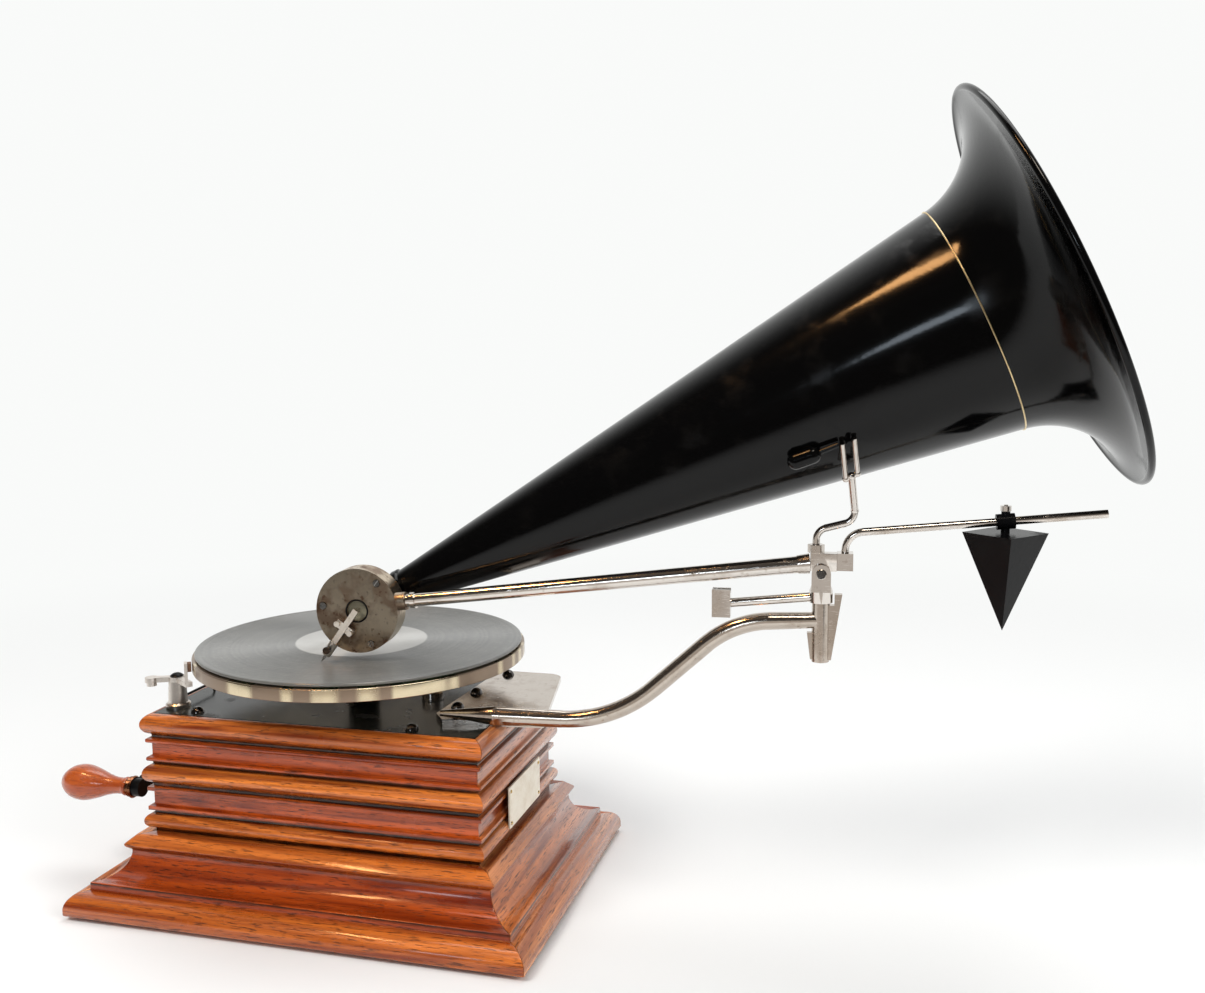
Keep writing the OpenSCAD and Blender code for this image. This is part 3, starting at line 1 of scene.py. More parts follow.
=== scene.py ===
"""Looks of a table gramophone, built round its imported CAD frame.

The CAD nodes keep their places. This script gives each of them a procedural finish, turns
the round pieces afresh with fine profiles, rounds the arrises of the mouldings, and sets up
a plain pale floor, soft studio light and the camera.
"""

import json
import logging
import math
from dataclasses import dataclass
from enum import Enum
from typing import Any, Iterable, Sequence

import bmesh
import bpy
from mathutils import Matrix, Vector

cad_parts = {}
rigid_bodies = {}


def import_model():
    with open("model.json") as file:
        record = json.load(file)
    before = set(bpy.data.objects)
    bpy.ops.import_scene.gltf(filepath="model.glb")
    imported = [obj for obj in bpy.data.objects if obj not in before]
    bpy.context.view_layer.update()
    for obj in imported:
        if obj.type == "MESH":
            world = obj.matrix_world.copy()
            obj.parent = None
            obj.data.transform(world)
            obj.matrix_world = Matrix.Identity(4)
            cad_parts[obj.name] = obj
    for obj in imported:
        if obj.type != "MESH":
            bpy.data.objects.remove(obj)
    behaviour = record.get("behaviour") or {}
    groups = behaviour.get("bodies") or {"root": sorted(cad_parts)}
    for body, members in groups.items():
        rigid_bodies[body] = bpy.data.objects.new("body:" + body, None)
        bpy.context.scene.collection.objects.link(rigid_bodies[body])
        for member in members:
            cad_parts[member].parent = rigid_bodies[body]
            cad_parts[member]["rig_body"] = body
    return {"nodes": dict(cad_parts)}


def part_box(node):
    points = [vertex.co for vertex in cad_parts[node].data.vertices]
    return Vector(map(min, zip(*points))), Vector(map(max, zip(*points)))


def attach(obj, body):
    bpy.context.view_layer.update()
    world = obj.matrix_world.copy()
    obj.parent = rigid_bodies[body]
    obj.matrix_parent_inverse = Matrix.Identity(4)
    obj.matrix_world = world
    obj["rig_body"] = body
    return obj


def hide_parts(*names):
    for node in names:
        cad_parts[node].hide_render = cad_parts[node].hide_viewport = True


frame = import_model()

LOG = logging.getLogger("gramophone")
MM = 0.001

Point = tuple[float, float]
Colour = tuple[float, float, float]


class Axis(Enum):
    """Direction in which a piece of wood was sawn."""

    ALONG_FRONT = 0
    ALONG_SIDE = 90


class LampTask(Enum):
    """What a lamp is for."""

    LIGHT = "surfaces only"
    GLEAM = "gloss only"
    BOTH = "surfaces and gloss"


class Graph:
    """Adds and joins the nodes of one tree."""

    def __init__(self, tree: bpy.types.NodeTree) -> None:
        """Takes the tree that the nodes go into."""
        self.tree = tree
        self.count = 0

    def add(self, kind: str, inputs: dict[Any, Any] | None = None,
            **settings: Any) -> bpy.types.Node:
        """Adds one node.

        Args:
            kind: Blender's name of the node type.
            inputs: Values or output sockets, by input name or number.
            settings: Properties of the node itself.

        Returns:
            The new node.
        """
        node = self.tree.nodes.new(kind)
        node.location = (180 * (self.count % 12), -220 * (self.count // 12))
        self.count += 1
        for name, value in settings.items():
            setattr(node, name, value)
        self.fill(node, inputs or {})
        return node

    def fill(self, node: bpy.types.Node, inputs: dict[Any, Any]) -> None:
        """Sets or links a node's inputs, by name or number."""
        for key, value in inputs.items():
            if isinstance(value, bpy.types.NodeSocket):
                self.tree.links.new(value, node.inputs[key])
            else:
                node.inputs[key].default_value = value

    def math(self, operation: str, a: Any, b: Any = 0.0, clamp: bool = False) -> bpy.types.NodeSocket:
        """Adds a Math node and returns its output."""
        settings = {"operation": operation, "use_clamp": clamp}
        return self.add("ShaderNodeMath", {0: a, 1: b}, **settings).outputs[0]

    def noise(self, vector: Any, scale: float, detail: float = 3.0,
              rough: float = 0.55) -> bpy.types.NodeSocket:
        """Adds a Noise Texture and returns its value."""
        inputs = {"Vector": vector, "Scale": scale, "Detail": detail, "Roughness": rough}
        return self.add("ShaderNodeTexNoise", inputs).outputs[0]

    def span(self, value: Any, low: float, high: float, start: float = 0.0,
             end: float = 1.0) -> bpy.types.NodeSocket:
        """Maps low..high smoothly to start..end and returns the result."""
        inputs = {"Value": value, "From Min": low, "From Max": high, "To Min": start, "To Max": end}
        return self.add("ShaderNodeMapRange", inputs, interpolation_type="SMOOTHSTEP").outputs[0]

    def mix(self, factor: Any, a: Any, b: Any, blend: str = "MIX") -> bpy.types.NodeSocket:
        """Mixes two colours and returns the result."""
        settings = {"data_type": "RGBA", "blend_type": blend}
        return self.add("ShaderNodeMix", {0: factor, 6: a, 7: b}, **settings).outputs[2]

    def part(self, vector: Any, index: int) -> bpy.types.NodeSocket:
        """Gives one component of a vector."""
        return self.add("ShaderNodeSeparateXYZ", {0: vector}).outputs[index]

    def length(self, vector: Any) -> bpy.types.NodeSocket:
        """Gives the length of a vector."""
        return self.add("ShaderNodeVectorMath", {0: vector}, operation="LENGTH").outputs["Value"]

    def upward(self) -> bpy.types.NodeSocket:
        """Gives how far the surface faces up, from -1 to 1."""
        return self.part(self.add("ShaderNodeNewGeometry").outputs["Normal"], 2)

    def stretch(self, vector: Any, scale: Sequence[float], turn: float = 0.0,
                shift: Sequence[float] = (0.0, 0.0, 0.0)) -> bpy.types.NodeSocket:
        """Adds a Mapping node and returns its vector."""
        turned = (0.0, 0.0, math.radians(turn))
        inputs = {"Vector": vector, "Scale": scale, "Location": shift, "Rotation": turned}
        return self.add("ShaderNodeMapping", inputs).outputs[0]


def rgba(colour: Colour) -> tuple[float, float, float, float]:
    """Adds a full alpha to a colour."""
    return (*colour, 1.0)


def spaced(sockets: dict[str, Any]) -> dict[str, Any]:
    """Puts spaces for the underscores in socket names."""
    return {name.replace("_", " "): value for name, value in sockets.items()}


def blank_graph(owner: bpy.types.Material | bpy.types.World) -> Graph:
    """Empties the node tree of a material or a world and gives its graph."""
    owner.use_nodes = True
    owner.node_tree.nodes.clear()
    return Graph(owner.node_tree)


def new_object(name: str, data: bpy.types.ID) -> bpy.types.Object:
    """Makes an object of some data and links it to the scene."""
    obj = bpy.data.objects.new(name, data)
    bpy.context.scene.collection.objects.link(obj)
    return obj


def new_group(name: str, inputs: dict[str, str], outputs: dict[str, str],
              kind: str = "ShaderNodeTree") -> tuple[Graph, Any, Any]:
    """Makes an empty node group with named sockets.

    Args:
        name: The group's name.
        inputs: Socket types by input name.
        outputs: Socket types by output name.
        kind: Blender's name of the tree type.

    Returns:
        The group's graph, its input node and its output node.
    """
    tree = bpy.data.node_groups.new(name, kind)
    for side, sockets in (("INPUT", inputs), ("OUTPUT", outputs)):
        for label, socket_type in sockets.items():
            tree.interface.new_socket(label, in_out=side, socket_type=socket_type)
    graph = Graph(tree)
    return graph, graph.add("NodeGroupInput"), graph.add("NodeGroupOutput")


class Effects:
    """Shader groups that several finishes share."""

    VALUE = "NodeSocketFloat"
    VECTOR = "NodeSocketVector"

    def __init__(self) -> None:
        """Builds the groups once."""
        self.grain = self._grain()
        self.plate_wear = self._plate_wear()
        self.mottle = self._mottle()

    def _grain(self) -> bpy.types.NodeTree:
        """Oak grain, with X along the wood.

        Returns:
            A group that gives the rings, the open pores and a height.
        """
        sockets = {"Rings": self.VALUE, "Pores": self.VALUE, "Height": self.VALUE}
        g, start, end = new_group("oak_grain", {"Vector": self.VECTOR, "Ring Count": self.VALUE}, sockets)
        vector = start.outputs["Vector"]
        figure = g.noise(g.stretch(vector, (2.2, 26.0, 26.0)), 1.0, 2.0, 0.45)
        turns = g.math("MULTIPLY", figure, start.outputs["Ring Count"])
        rings = g.math("ABSOLUTE", g.math("SUBTRACT", g.math("FRACT", turns), 0.5))
        rings = g.span(rings, 0.02, 0.46)
        fibre = g.noise(g.stretch(vector, (4.5, 190.0, 190.0)), 1.0, 5.0, 0.68)
        vessels = g.noise(g.stretch(vector, (130.0, 1500.0, 1500.0), 0.0, (3.1, 7.7, 1.3)), 1.0, 2.0, 0.6)
        pores = g.span(vessels, 0.53, 0.66)
        pores = g.math("MULTIPLY", pores, g.span(rings, 1.0, 0.2, 0.45, 1.0))
        streaks = g.span(fibre, 0.36, 0.64)
        tone = g.math("ADD", g.math("MULTIPLY", rings, 0.34), g.math("MULTIPLY", streaks, 0.66))
        height = g.math("SUBTRACT", g.math("MULTIPLY", fibre, 0.4), pores)
        g.fill(end, {"Rings": tone, "Pores": pores, "Height": height})
        return g.tree

    def _plate_wear(self) -> bpy.types.NodeTree:
        """Tarnish and hairline scratches of old plating.

        Returns:
            A group that gives a tarnish mask, a scratch mask and a height.
        """
        sockets = {"Tarnish": self.VALUE, "Scratches": self.VALUE, "Height": self.VALUE}
        g, start, end = new_group("plate_wear", {"Vector": self.VECTOR, "Spots": self.VALUE}, sockets)
        vector = start.outputs["Vector"]
        cloud = g.noise(g.stretch(vector, (55.0, 55.0, 55.0)), 1.0, 5.0, 0.62)
        freckle = g.noise(g.stretch(vector, (420.0, 420.0, 420.0), 0.0, (2.0, 5.0, 1.0)), 1.0, 2.0, 0.5)
        spots = g.math("MULTIPLY", g.span(freckle, 0.60, 0.74), start.outputs["Spots"])
        tarnish = g.math("ADD", g.span(cloud, 0.46, 0.74, 0.0, 0.7), spots, clamp=True)
        hair = g.noise(g.stretch(vector, (60.0, 2400.0, 1900.0), 17.0), 1.0, 1.0, 0.4)
        scratches = g.span(hair, 0.63, 0.72)
        height = g.math("SUBTRACT", g.math("MULTIPLY", cloud, 0.3), g.math("MULTIPLY", scratches, 0.5))
        g.fill(end, {"Tarnish": tarnish, "Scratches": scratches, "Height": height})
        return g.tree

    def _mottle(self) -> bpy.types.NodeTree:
        """Cloudy variation and settled dust.

        Returns:
            A group that gives a cloud value and a dust mask.
        """
        sockets = {"Clouds": self.VALUE, "Dust": self.VALUE}
        g, start, end = new_group("mottle", {"Vector": self.VECTOR, "Size": self.VALUE}, sockets)
        inputs = {0: start.outputs["Vector"], "Scale": start.outputs["Size"]}
        scaled = g.add("ShaderNodeVectorMath", inputs, operation="SCALE").outputs[0]
        clouds = g.noise(scaled, 1.0, 4.0, 0.6)
        specks = g.noise(scaled, 9.0, 3.0, 0.65)
        dust = g.math("MULTIPLY", g.span(specks, 0.52, 0.72), g.span(g.upward(), 0.2, 0.95))
        g.fill(end, {"Clouds": clouds, "Dust": dust})
        return g.tree


class Paint:
    """One material under construction: its graph, its shader and Object coordinates."""

    def __init__(self, name: str) -> None:
        """Starts a material with a single Principled shader."""
        self.material = bpy.data.materials.new(name)
        self.graph = blank_graph(self.material)
        self.shader = self.graph.add("ShaderNodeBsdfPrincipled")
        self.graph.add("ShaderNodeOutputMaterial", {0: self.shader.outputs[0]})
        self.place = self.graph.add("ShaderNodeTexCoord").outputs["Object"]

    def set(self, **sockets: Any) -> None:
        """Sets or links shader sockets, with underscores for the spaces in their names."""
        self.graph.fill(self.shader, spaced(sockets))

    def group(self, tree: bpy.types.NodeTree, **inputs: Any) -> bpy.types.Node:
        """Places a shared group and sets its inputs, with underscores for spaces."""
        return self.graph.add("ShaderNodeGroup", spaced(inputs), node_tree=tree)

    def bump(self, height: bpy.types.NodeSocket, depth: float, strength: float = 1.0) -> None:
        """Feeds a height in metres of the given depth to the shader's normal."""
        inputs = {"Height": height, "Distance": depth, "Strength": strength}
        self.set(Normal=self.graph.add("ShaderNodeBump", inputs).outputs[0])


@dataclass(frozen=True)
class Oak:
    """Varnished oak: open pores, painted shade in a hollow band, dirt and painted shade in the quirks."""

    axis: Axis
    shift: tuple[float, float, float]
    pale: Colour = (0.90, 0.255, 0.038)
    deep: Colour = (0.145, 0.017, 0.0015)
    pore: Colour = (0.026, 0.004, 0.001)
    quirks: tuple[float, ...] = ()
    hollow: Point = (0.0, 0.0)
    # Painted shade: a tint multiplied into the hollow band.
    painted_shade_tint: Colour = (0.66, 0.39, 0.28)
    ring_count: float = 15.0
    coat: float = 0.65
    stain: Colour = (0.30, 0.038, 0.004)
    # Colour of the dirt and painted shade in the quirks.
    dirt_and_shade: Colour = (0.016, 0.005, 0.002)

    def build(self, name: str, effects: Effects) -> bpy.types.Material:
        """Makes the material.

        Args:
            name: The material's name.
            effects: The shared shader groups.

        Returns:
            The new material.
        """
        paint = Paint(name)
        g = paint.graph
        sawn = g.stretch(paint.place, (1.0, 1.0, 1.0), self.axis.value, self.shift)
        grain = paint.group(effects.grain, Vector=sawn, Ring_Count=self.ring_count)
        colour = g.mix(grain.outputs["Rings"], rgba(self.pale), rgba(self.deep))
        streak = g.noise(g.stretch(sawn, (1.4, 9.0, 9.0)), 1.0, 2.0)
        colour = g.mix(g.span(streak, 0.35, 0.7, 0.0, 0.4), colour, rgba(self.stain))
        colour = g.mix(g.math("MULTIPLY", grain.outputs["Pores"], 0.75), colour, rgba(self.pore))
        if self.quirks:
            # Painted shade: the hollow band between the quirks is darkened by a multiplied tint.
            colour = g.mix(self._painted_shade_mask(g, paint.place), colour, rgba(self.painted_shade_tint), "MULTIPLY")
            # Dirt and painted shade: dark lines along the quirks, on faces that don't look up.
            colour = g.mix(self._dirt_and_shade_mask(g, paint.place), colour, rgba(self.dirt_and_shade))
        mottle = paint.group(effects.mottle, Vector=paint.place, Size=38.0)
        rough = g.span(mottle.outputs["Clouds"], 0.3, 0.7, 0.24, 0.36)
        rough = g.math("ADD", rough, g.math("MULTIPLY", grain.outputs["Pores"], 0.25))
        paint.set(Base_Color=colour, Roughness=rough, Coat_Weight=self.coat, Coat_Roughness=0.12,
                  Specular_IOR_Level=0.35, IOR=1.45)
        paint.bump(grain.outputs["Height"], 0.00012, 0.7)
        return paint.material

    def _painted_shade_mask(self, g: Graph, place: bpy.types.NodeSocket) -> bpy.types.NodeSocket:
        """Mask of the painted shade that darkens the hollow band, with soft ends.

        Args:
            g: The material's graph.
            place: Object coordinates.

        Returns:
            The mask, from 0 to 1.
        """
        height = g.part(place, 2)
        low, high = self.hollow
        foot = g.span(height, low - MM, low + MM)
        return g.math("MULTIPLY", foot, g.span(height, high + 2 * MM, high - 2 * MM))

    def _dirt_and_shade_mask(self, g: Graph, place: bpy.types.NodeSocket) -> bpy.types.NodeSocket:
        """Mask of the dark lines of dirt and painted shade in the quirks between the mouldings.

        Args:
            g: The material's graph.
            place: Object coordinates.

        Returns:
            The mask, from 0 to about 0.9.
        """
        height = g.part(place, 2)
        breaks = g.span(g.noise(place, 90.0, 3.0), 0.25, 0.6, 0.65, 0.95)
        gaps = [g.math("ABSOLUTE", g.math("SUBTRACT", height, quirk)) for quirk in self.quirks]
        nearest = gaps[0]
        for gap in gaps[1:]:
            nearest = g.math("MINIMUM", nearest, gap)
        steep = g.math("MULTIPLY", breaks, g.span(g.upward(), 0.85, 0.4))
        return g.math("MULTIPLY", g.span(nearest, 2.3 * MM, 0.6 * MM), steep)


@dataclass(frozen=True)
class Plate:
    """Polished metal under old plating, with tarnish and fine scratches."""

    bright: Colour
    dull: Colour
    smooth: float = 0.12
    worn: float = 0.38
    spots: float = 0.5
    turn: float = 0.0
    rim_centre: Point | None = None
    blotch: float = 0.0

    def build(self, name: str, effects: Effects) -> bpy.types.Material:
        """Makes the material from the shared wear group; on a rim, upright light and dark bands of painted
        reflection.
        """
        paint = Paint(name)
        g = paint.graph
        turned = g.stretch(paint.place, (1, 1, 1), self.turn)
        wear = paint.group(effects.plate_wear, Vector=turned, Spots=self.spots)
        tarnish = wear.outputs["Tarnish"]
        # Painted reflection: upright light and dark bands round the rim, mixed into the tarnish.
        if self.rim_centre:
            x, y = self.rim_centre
            middle = g.stretch(paint.place, (1, 1, 0), 0.0, (-x, -y, 0.0))
            way = g.add("ShaderNodeVectorMath", {0: middle}, operation="NORMALIZE").outputs[0]
            painted_reflection_bands = g.span(g.noise(way, 6.0, 1.0), 0.37, 0.55)
            tarnish = g.math("ADD", g.math("MULTIPLY", tarnish, 0.25), painted_reflection_bands, clamp=True)
        if self.blotch:
            patches = g.span(g.noise(paint.place, 75.0, 3.0), 0.44, 0.62, 0.0, self.blotch)
            tarnish = g.math("ADD", tarnish, patches, clamp=True)
        colour = g.mix(tarnish, rgba(self.bright), rgba(self.dull))
        rough = g.span(tarnish, 0.0, 1.0, self.smooth, self.worn)
        rough = g.math("ADD", rough, g.math("MULTIPLY", wear.outputs["Scratches"], 0.1))
        metal = g.span(tarnish, 0.5, 1.0, 1.0, 0.82)
        paint.set(Base_Color=colour, Roughness=rough, Metallic=metal)
        paint.bump(wear.outputs["Height"], 0.00003, 0.5)
        return paint.material


@dataclass(frozen=True)
class Lacquer:
    """Stoved black coat over metal, with orange peel, rubbed patches and a little dust."""

    base: Colour
    rubbed: Colour
    smooth: float = 0.11
    worn: float = 0.24
    gloss: float = 0.22
    dust: float = 0.03
    peel: float = 0.00004
    dust_tint: Colour = (0.30, 0.27, 0.23)

    def build(self, name: str, effects: Effects) -> bpy.types.Material:
        """Makes the material from the shared mottle group."""
        paint = Paint(name)
        g = paint.graph
        mottle = paint.group(effects.mottle, Vector=paint.place, Size=46.0)
        rub = g.span(mottle.outputs["Clouds"], 0.50, 0.72)
        colour = g.mix(rub, rgba(self.base), rgba(self.rubbed))
        dust = g.math("MULTIPLY", mottle.outputs["Dust"], self.dust)
        colour = g.mix(dust, colour, rgba(self.dust_tint))
        rough = g.span(rub, 0.0, 1.0, self.smooth, self.worn)
        peel = g.noise(paint.place, 260.0, 2.0)
        paint.set(Base_Color=colour, Roughness=rough, Specular_IOR_Level=self.gloss, IOR=1.5)
        paint.bump(peel, self.peel, 0.6)
        return paint.material


@dataclass(frozen=True)
class Matter:
    """A rough, cloudy material such as felt, leather, rubber or enamel."""

    light: Colour
    dark: Colour
    rough_low: float
    rough_high: float
    cloud_size: float
    tooth_size: float
    tooth_depth: float
    sheen: float = 0.0
    dust: float = 0.12
    dust_tint: Colour = (0.36, 0.32, 0.27)

    def build(self, name: str, effects: Effects) -> bpy.types.Material:
        """Makes the material from the shared mottle group and a fine tooth."""
        paint = Paint(name)
        g = paint.graph
        mottle = paint.group(effects.mottle, Vector=paint.place, Size=self.cloud_size)
        tooth = g.noise(paint.place, self.tooth_size, 3.0, 0.6)
        clouds = g.math("MULTIPLY", mottle.outputs["Clouds"], 0.75)
        tone = g.math("ADD", clouds, g.math("MULTIPLY", tooth, 0.25))
        colour = g.mix(g.span(tone, 0.32, 0.68), rgba(self.dark), rgba(self.light))
        dust = g.math("MULTIPLY", mottle.outputs["Dust"], self.dust)
        colour = g.mix(dust, colour, rgba(self.dust_tint))
        rough = g.span(tone, 0.3, 0.7, self.rough_high, self.rough_low)
        paint.set(Base_Color=colour, Roughness=rough, Sheen_Weight=self.sheen)
        paint.bump(tooth, self.tooth_depth, 0.8)
        return paint.material


@dataclass(frozen=True)
class Shellac:
    """Pressed disc: fine grooves between a plain edge and a paler, bare middle."""

    centre: Point
    groove_from: float
    groove_to: float
    pitch: float = 0.00062
    groove_dark: Colour = (0.072, 0.070, 0.063)
    groove_worn: Colour = (0.132, 0.127, 0.114)
    middle_light: Colour = (0.46, 0.45, 0.425)
    middle_dark: Colour = (0.37, 0.36, 0.335)
    dust: float = 0.16
    dust_tint: Colour = (0.40, 0.38, 0.34)

    def build(self, name: str, effects: Effects) -> bpy.types.Material:
        """Makes the material, with rings round the spindle.

        Args:
            name: The material's name.
            effects: The shared shader groups.

        Returns:
            The new material.
        """
        paint = Paint(name)
        g = paint.graph
        x, y = self.centre
        radius = g.length(g.stretch(paint.place, (1.0, 1.0, 0.0), 0.0, (-x, -y, 0.0)))
        inside = g.span(radius, self.groove_from - 0.0006, self.groove_from + 0.0006)
        outside = g.span(radius, self.groove_to + 0.0004, self.groove_to - 0.0004)
        band = g.math("MULTIPLY", inside, outside)
        wave = g.math("SINE", g.math("MULTIPLY", radius, math.tau / self.pitch))
        rings = g.math("MULTIPLY", wave, band)
        mottle = paint.group(effects.mottle, Vector=paint.place, Size=30.0)
        swirl = g.noise(g.add("ShaderNodeCombineXYZ", {0: radius}).outputs[0], 420.0, 2.0)
        clouds = mottle.outputs["Clouds"]
        worn = g.math("ADD", g.math("MULTIPLY", clouds, 0.5), g.math("MULTIPLY", swirl, 0.5))
        grooves = g.mix(g.span(worn, 0.36, 0.66), rgba(self.groove_dark), rgba(self.groove_worn))
        bare = g.mix(g.span(clouds, 0.35, 0.7), rgba(self.middle_light), rgba(self.middle_dark))
        colour = g.mix(inside, bare, grooves)
        dust = g.math("MULTIPLY", mottle.outputs["Dust"], self.dust)
        colour = g.mix(dust, colour, rgba(self.dust_tint))
        rough = g.span(inside, 0.0, 1.0, 0.42, 0.30)
        round_spindle = g.add("ShaderNodeTangent", direction_type="RADIAL", axis="Z").outputs[0]
        paint.set(Base_Color=colour, Roughness=rough, IOR=1.8, Specular_IOR_Level=0.6,
                  Anisotropic=0.9, Anisotropic_Rotation=0.25, Tangent=round_spindle)
        paint.bump(rings, 0.00006, 0.8)
        return paint.material


@dataclass(frozen=True)
class Mica:
    """Clear split mica with faint flaws."""

    tint: Colour = (0.60, 0.56, 0.41)
    flaw: Colour = (0.30, 0.26, 0.17)

    def build(self, name: str, effects: Effects) -> bpy.types.Material:
        """Makes the material."""
        paint = Paint(name)
        mottle = paint.group(effects.mottle, Vector=paint.place, Size=240.0)
        clouds = mottle.outputs["Clouds"]
        rough = paint.graph.span(clouds, 0.35, 0.7, 0.05, 0.22)
        colour = paint.graph.mix(clouds, rgba(self.tint), rgba(self.flaw))
        paint.set(Base_Color=colour, Roughness=rough, Transmission_Weight=0.35, IOR=1.58)
        return paint.material


class Finishes:
    """All the finishes of the gramophone, each built once."""

    PLINTH = {"quirks": (0.0177, 0.0388), "hollow": (0.0138, 0.0310)}
    WAIST = {"quirks": (0.0398, 0.0498, 0.0644, 0.0756), "hollow": (0.0498, 0.0644),
             "ring_count": 17.0}
    CORNICE = {"quirks": (0.0766, 0.0906), "hollow": (0.0766, 0.0906)}
    # Side rails: paler, yellower oak and a lighter shade tint than the front, as painted glare.
    SIDE = {"axis": Axis.ALONG_SIDE, "pale": (0.80, 0.30, 0.090), "deep": (0.19, 0.042, 0.010),
            "coat": 1.0, "painted_shade_tint": (0.84, 0.70, 0.60)}
    SPINDLE = (0.003, 0.0015)

    def __init__(self) -> None:
        """Builds every material."""
        effects = Effects()
        front = Axis.ALONG_FRONT
        recipes = {
            "oak_plinth_front": Oak(front, (0.31, 0.22, 0.05), **self.PLINTH),
            "oak_plinth_side": Oak(shift=(0.77, 0.41, 0.11), **self.SIDE, **self.PLINTH),
            "oak_waist_front": Oak(front, (1.13, 0.63, 0.32), **self.WAIST),
            "oak_waist_side": Oak(shift=(1.57, 0.87, 0.43), **self.SIDE, **self.WAIST),
            "oak_cornice_front": Oak(front, (2.21, 1.04, 0.61), **self.CORNICE),
            "oak_cornice_side": Oak(shift=(2.73, 1.36, 0.78), **self.SIDE, **self.CORNICE),
            "turned_handle": Oak(front, (0.13, 0.51, 0.92), (0.60, 0.135, 0.026), (0.38, 0.062, 0.010),
                                 (0.20, 0.03, 0.006), ring_count=7.0, coat=0.8),
            "plain_wood": Oak(front, (0.4, 0.1, 0.2), (0.52, 0.33, 0.16), (0.34, 0.18, 0.08),
                              (0.16, 0.09, 0.05)),
            "nickel": Plate((0.70, 0.655, 0.61), (0.40, 0.33, 0.265), 0.10, 0.34),
            "worn_nickel": Plate((0.54, 0.475, 0.415), (0.35, 0.28, 0.22), 0.13, 0.36),
            # Platter: browner nickel, partly tarnish and partly painted reflection, with upright bands of
            # painted reflection.
            "platter_nickel": Plate((0.72, 0.61, 0.42), (0.27, 0.20, 0.145), 0.20, 0.30, 0.3, 40.0,
                                    rim_centre=self.SPINDLE),
            "brake_nickel": Plate((0.74, 0.68, 0.62), (0.46, 0.40, 0.35), 0.30, 0.46),
            "satin_nickel": Plate((0.82, 0.77, 0.70), (0.55, 0.47, 0.38), 0.34, 0.5),
            "steel": Plate((0.62, 0.61, 0.59), (0.30, 0.27, 0.24), 0.18, 0.42),
            "brass": Plate((0.78, 0.56, 0.24), (0.38, 0.24, 0.09), 0.16, 0.42),
            "gold_line": Plate((0.80, 0.64, 0.36), (0.48, 0.34, 0.16), 0.3, 0.5),
            "dark_brass": Plate((0.24, 0.10, 0.05), (0.09, 0.035, 0.02), 0.22, 0.5),
            "blued_steel": Plate((0.12, 0.11, 0.105), (0.035, 0.031, 0.029), 0.14, 0.34),
            "pewter": Plate((0.62, 0.52, 0.39), (0.14, 0.080, 0.048), 0.28, 0.48, 0.6, 25.0, blotch=0.8),
            "horn_lacquer": Lacquer((0.0012, 0.0012, 0.0013), (0.0030, 0.0027, 0.0025), dust=0.012),
            "black_iron": Lacquer((0.0035, 0.0035, 0.004), (0.010, 0.0095, 0.009), 0.28, 0.5, 0.12,
                                  dust=0.04, peel=0.00008),
            "board_black": Lacquer((0.011, 0.0125, 0.0105), (0.032, 0.031, 0.027), 0.20, 0.42, 0.22,
                                   dust=0.12, peel=0.00006),
            "felt": Matter((0.05, 0.12, 0.06), (0.02, 0.05, 0.03), 0.85, 0.98, 160.0, 2600.0, 0.0002,
                           sheen=0.4),
            "cream_enamel": Matter((0.84, 0.78, 0.66), (0.70, 0.62, 0.49), 0.32, 0.5, 90.0, 700.0,
                                   0.00002),
            "leather": Matter((0.20, 0.10, 0.05), (0.09, 0.04, 0.02), 0.6, 0.85, 220.0, 1800.0, 0.0001),
            "rubber": Matter((0.035, 0.034, 0.033), (0.015, 0.015, 0.015), 0.7, 0.9, 120.0, 1500.0,
                             0.00008),
            "shellac": Shellac(self.SPINDLE, 0.0355, 0.0845),
            "mica": Mica(),
        }
        self.made = {name: recipe.build(name, effects) for name, recipe in recipes.items()}

    def __getitem__(self, name: str) -> bpy.types.Material:
        """Gives a finish by its name."""
        return self.made[name]


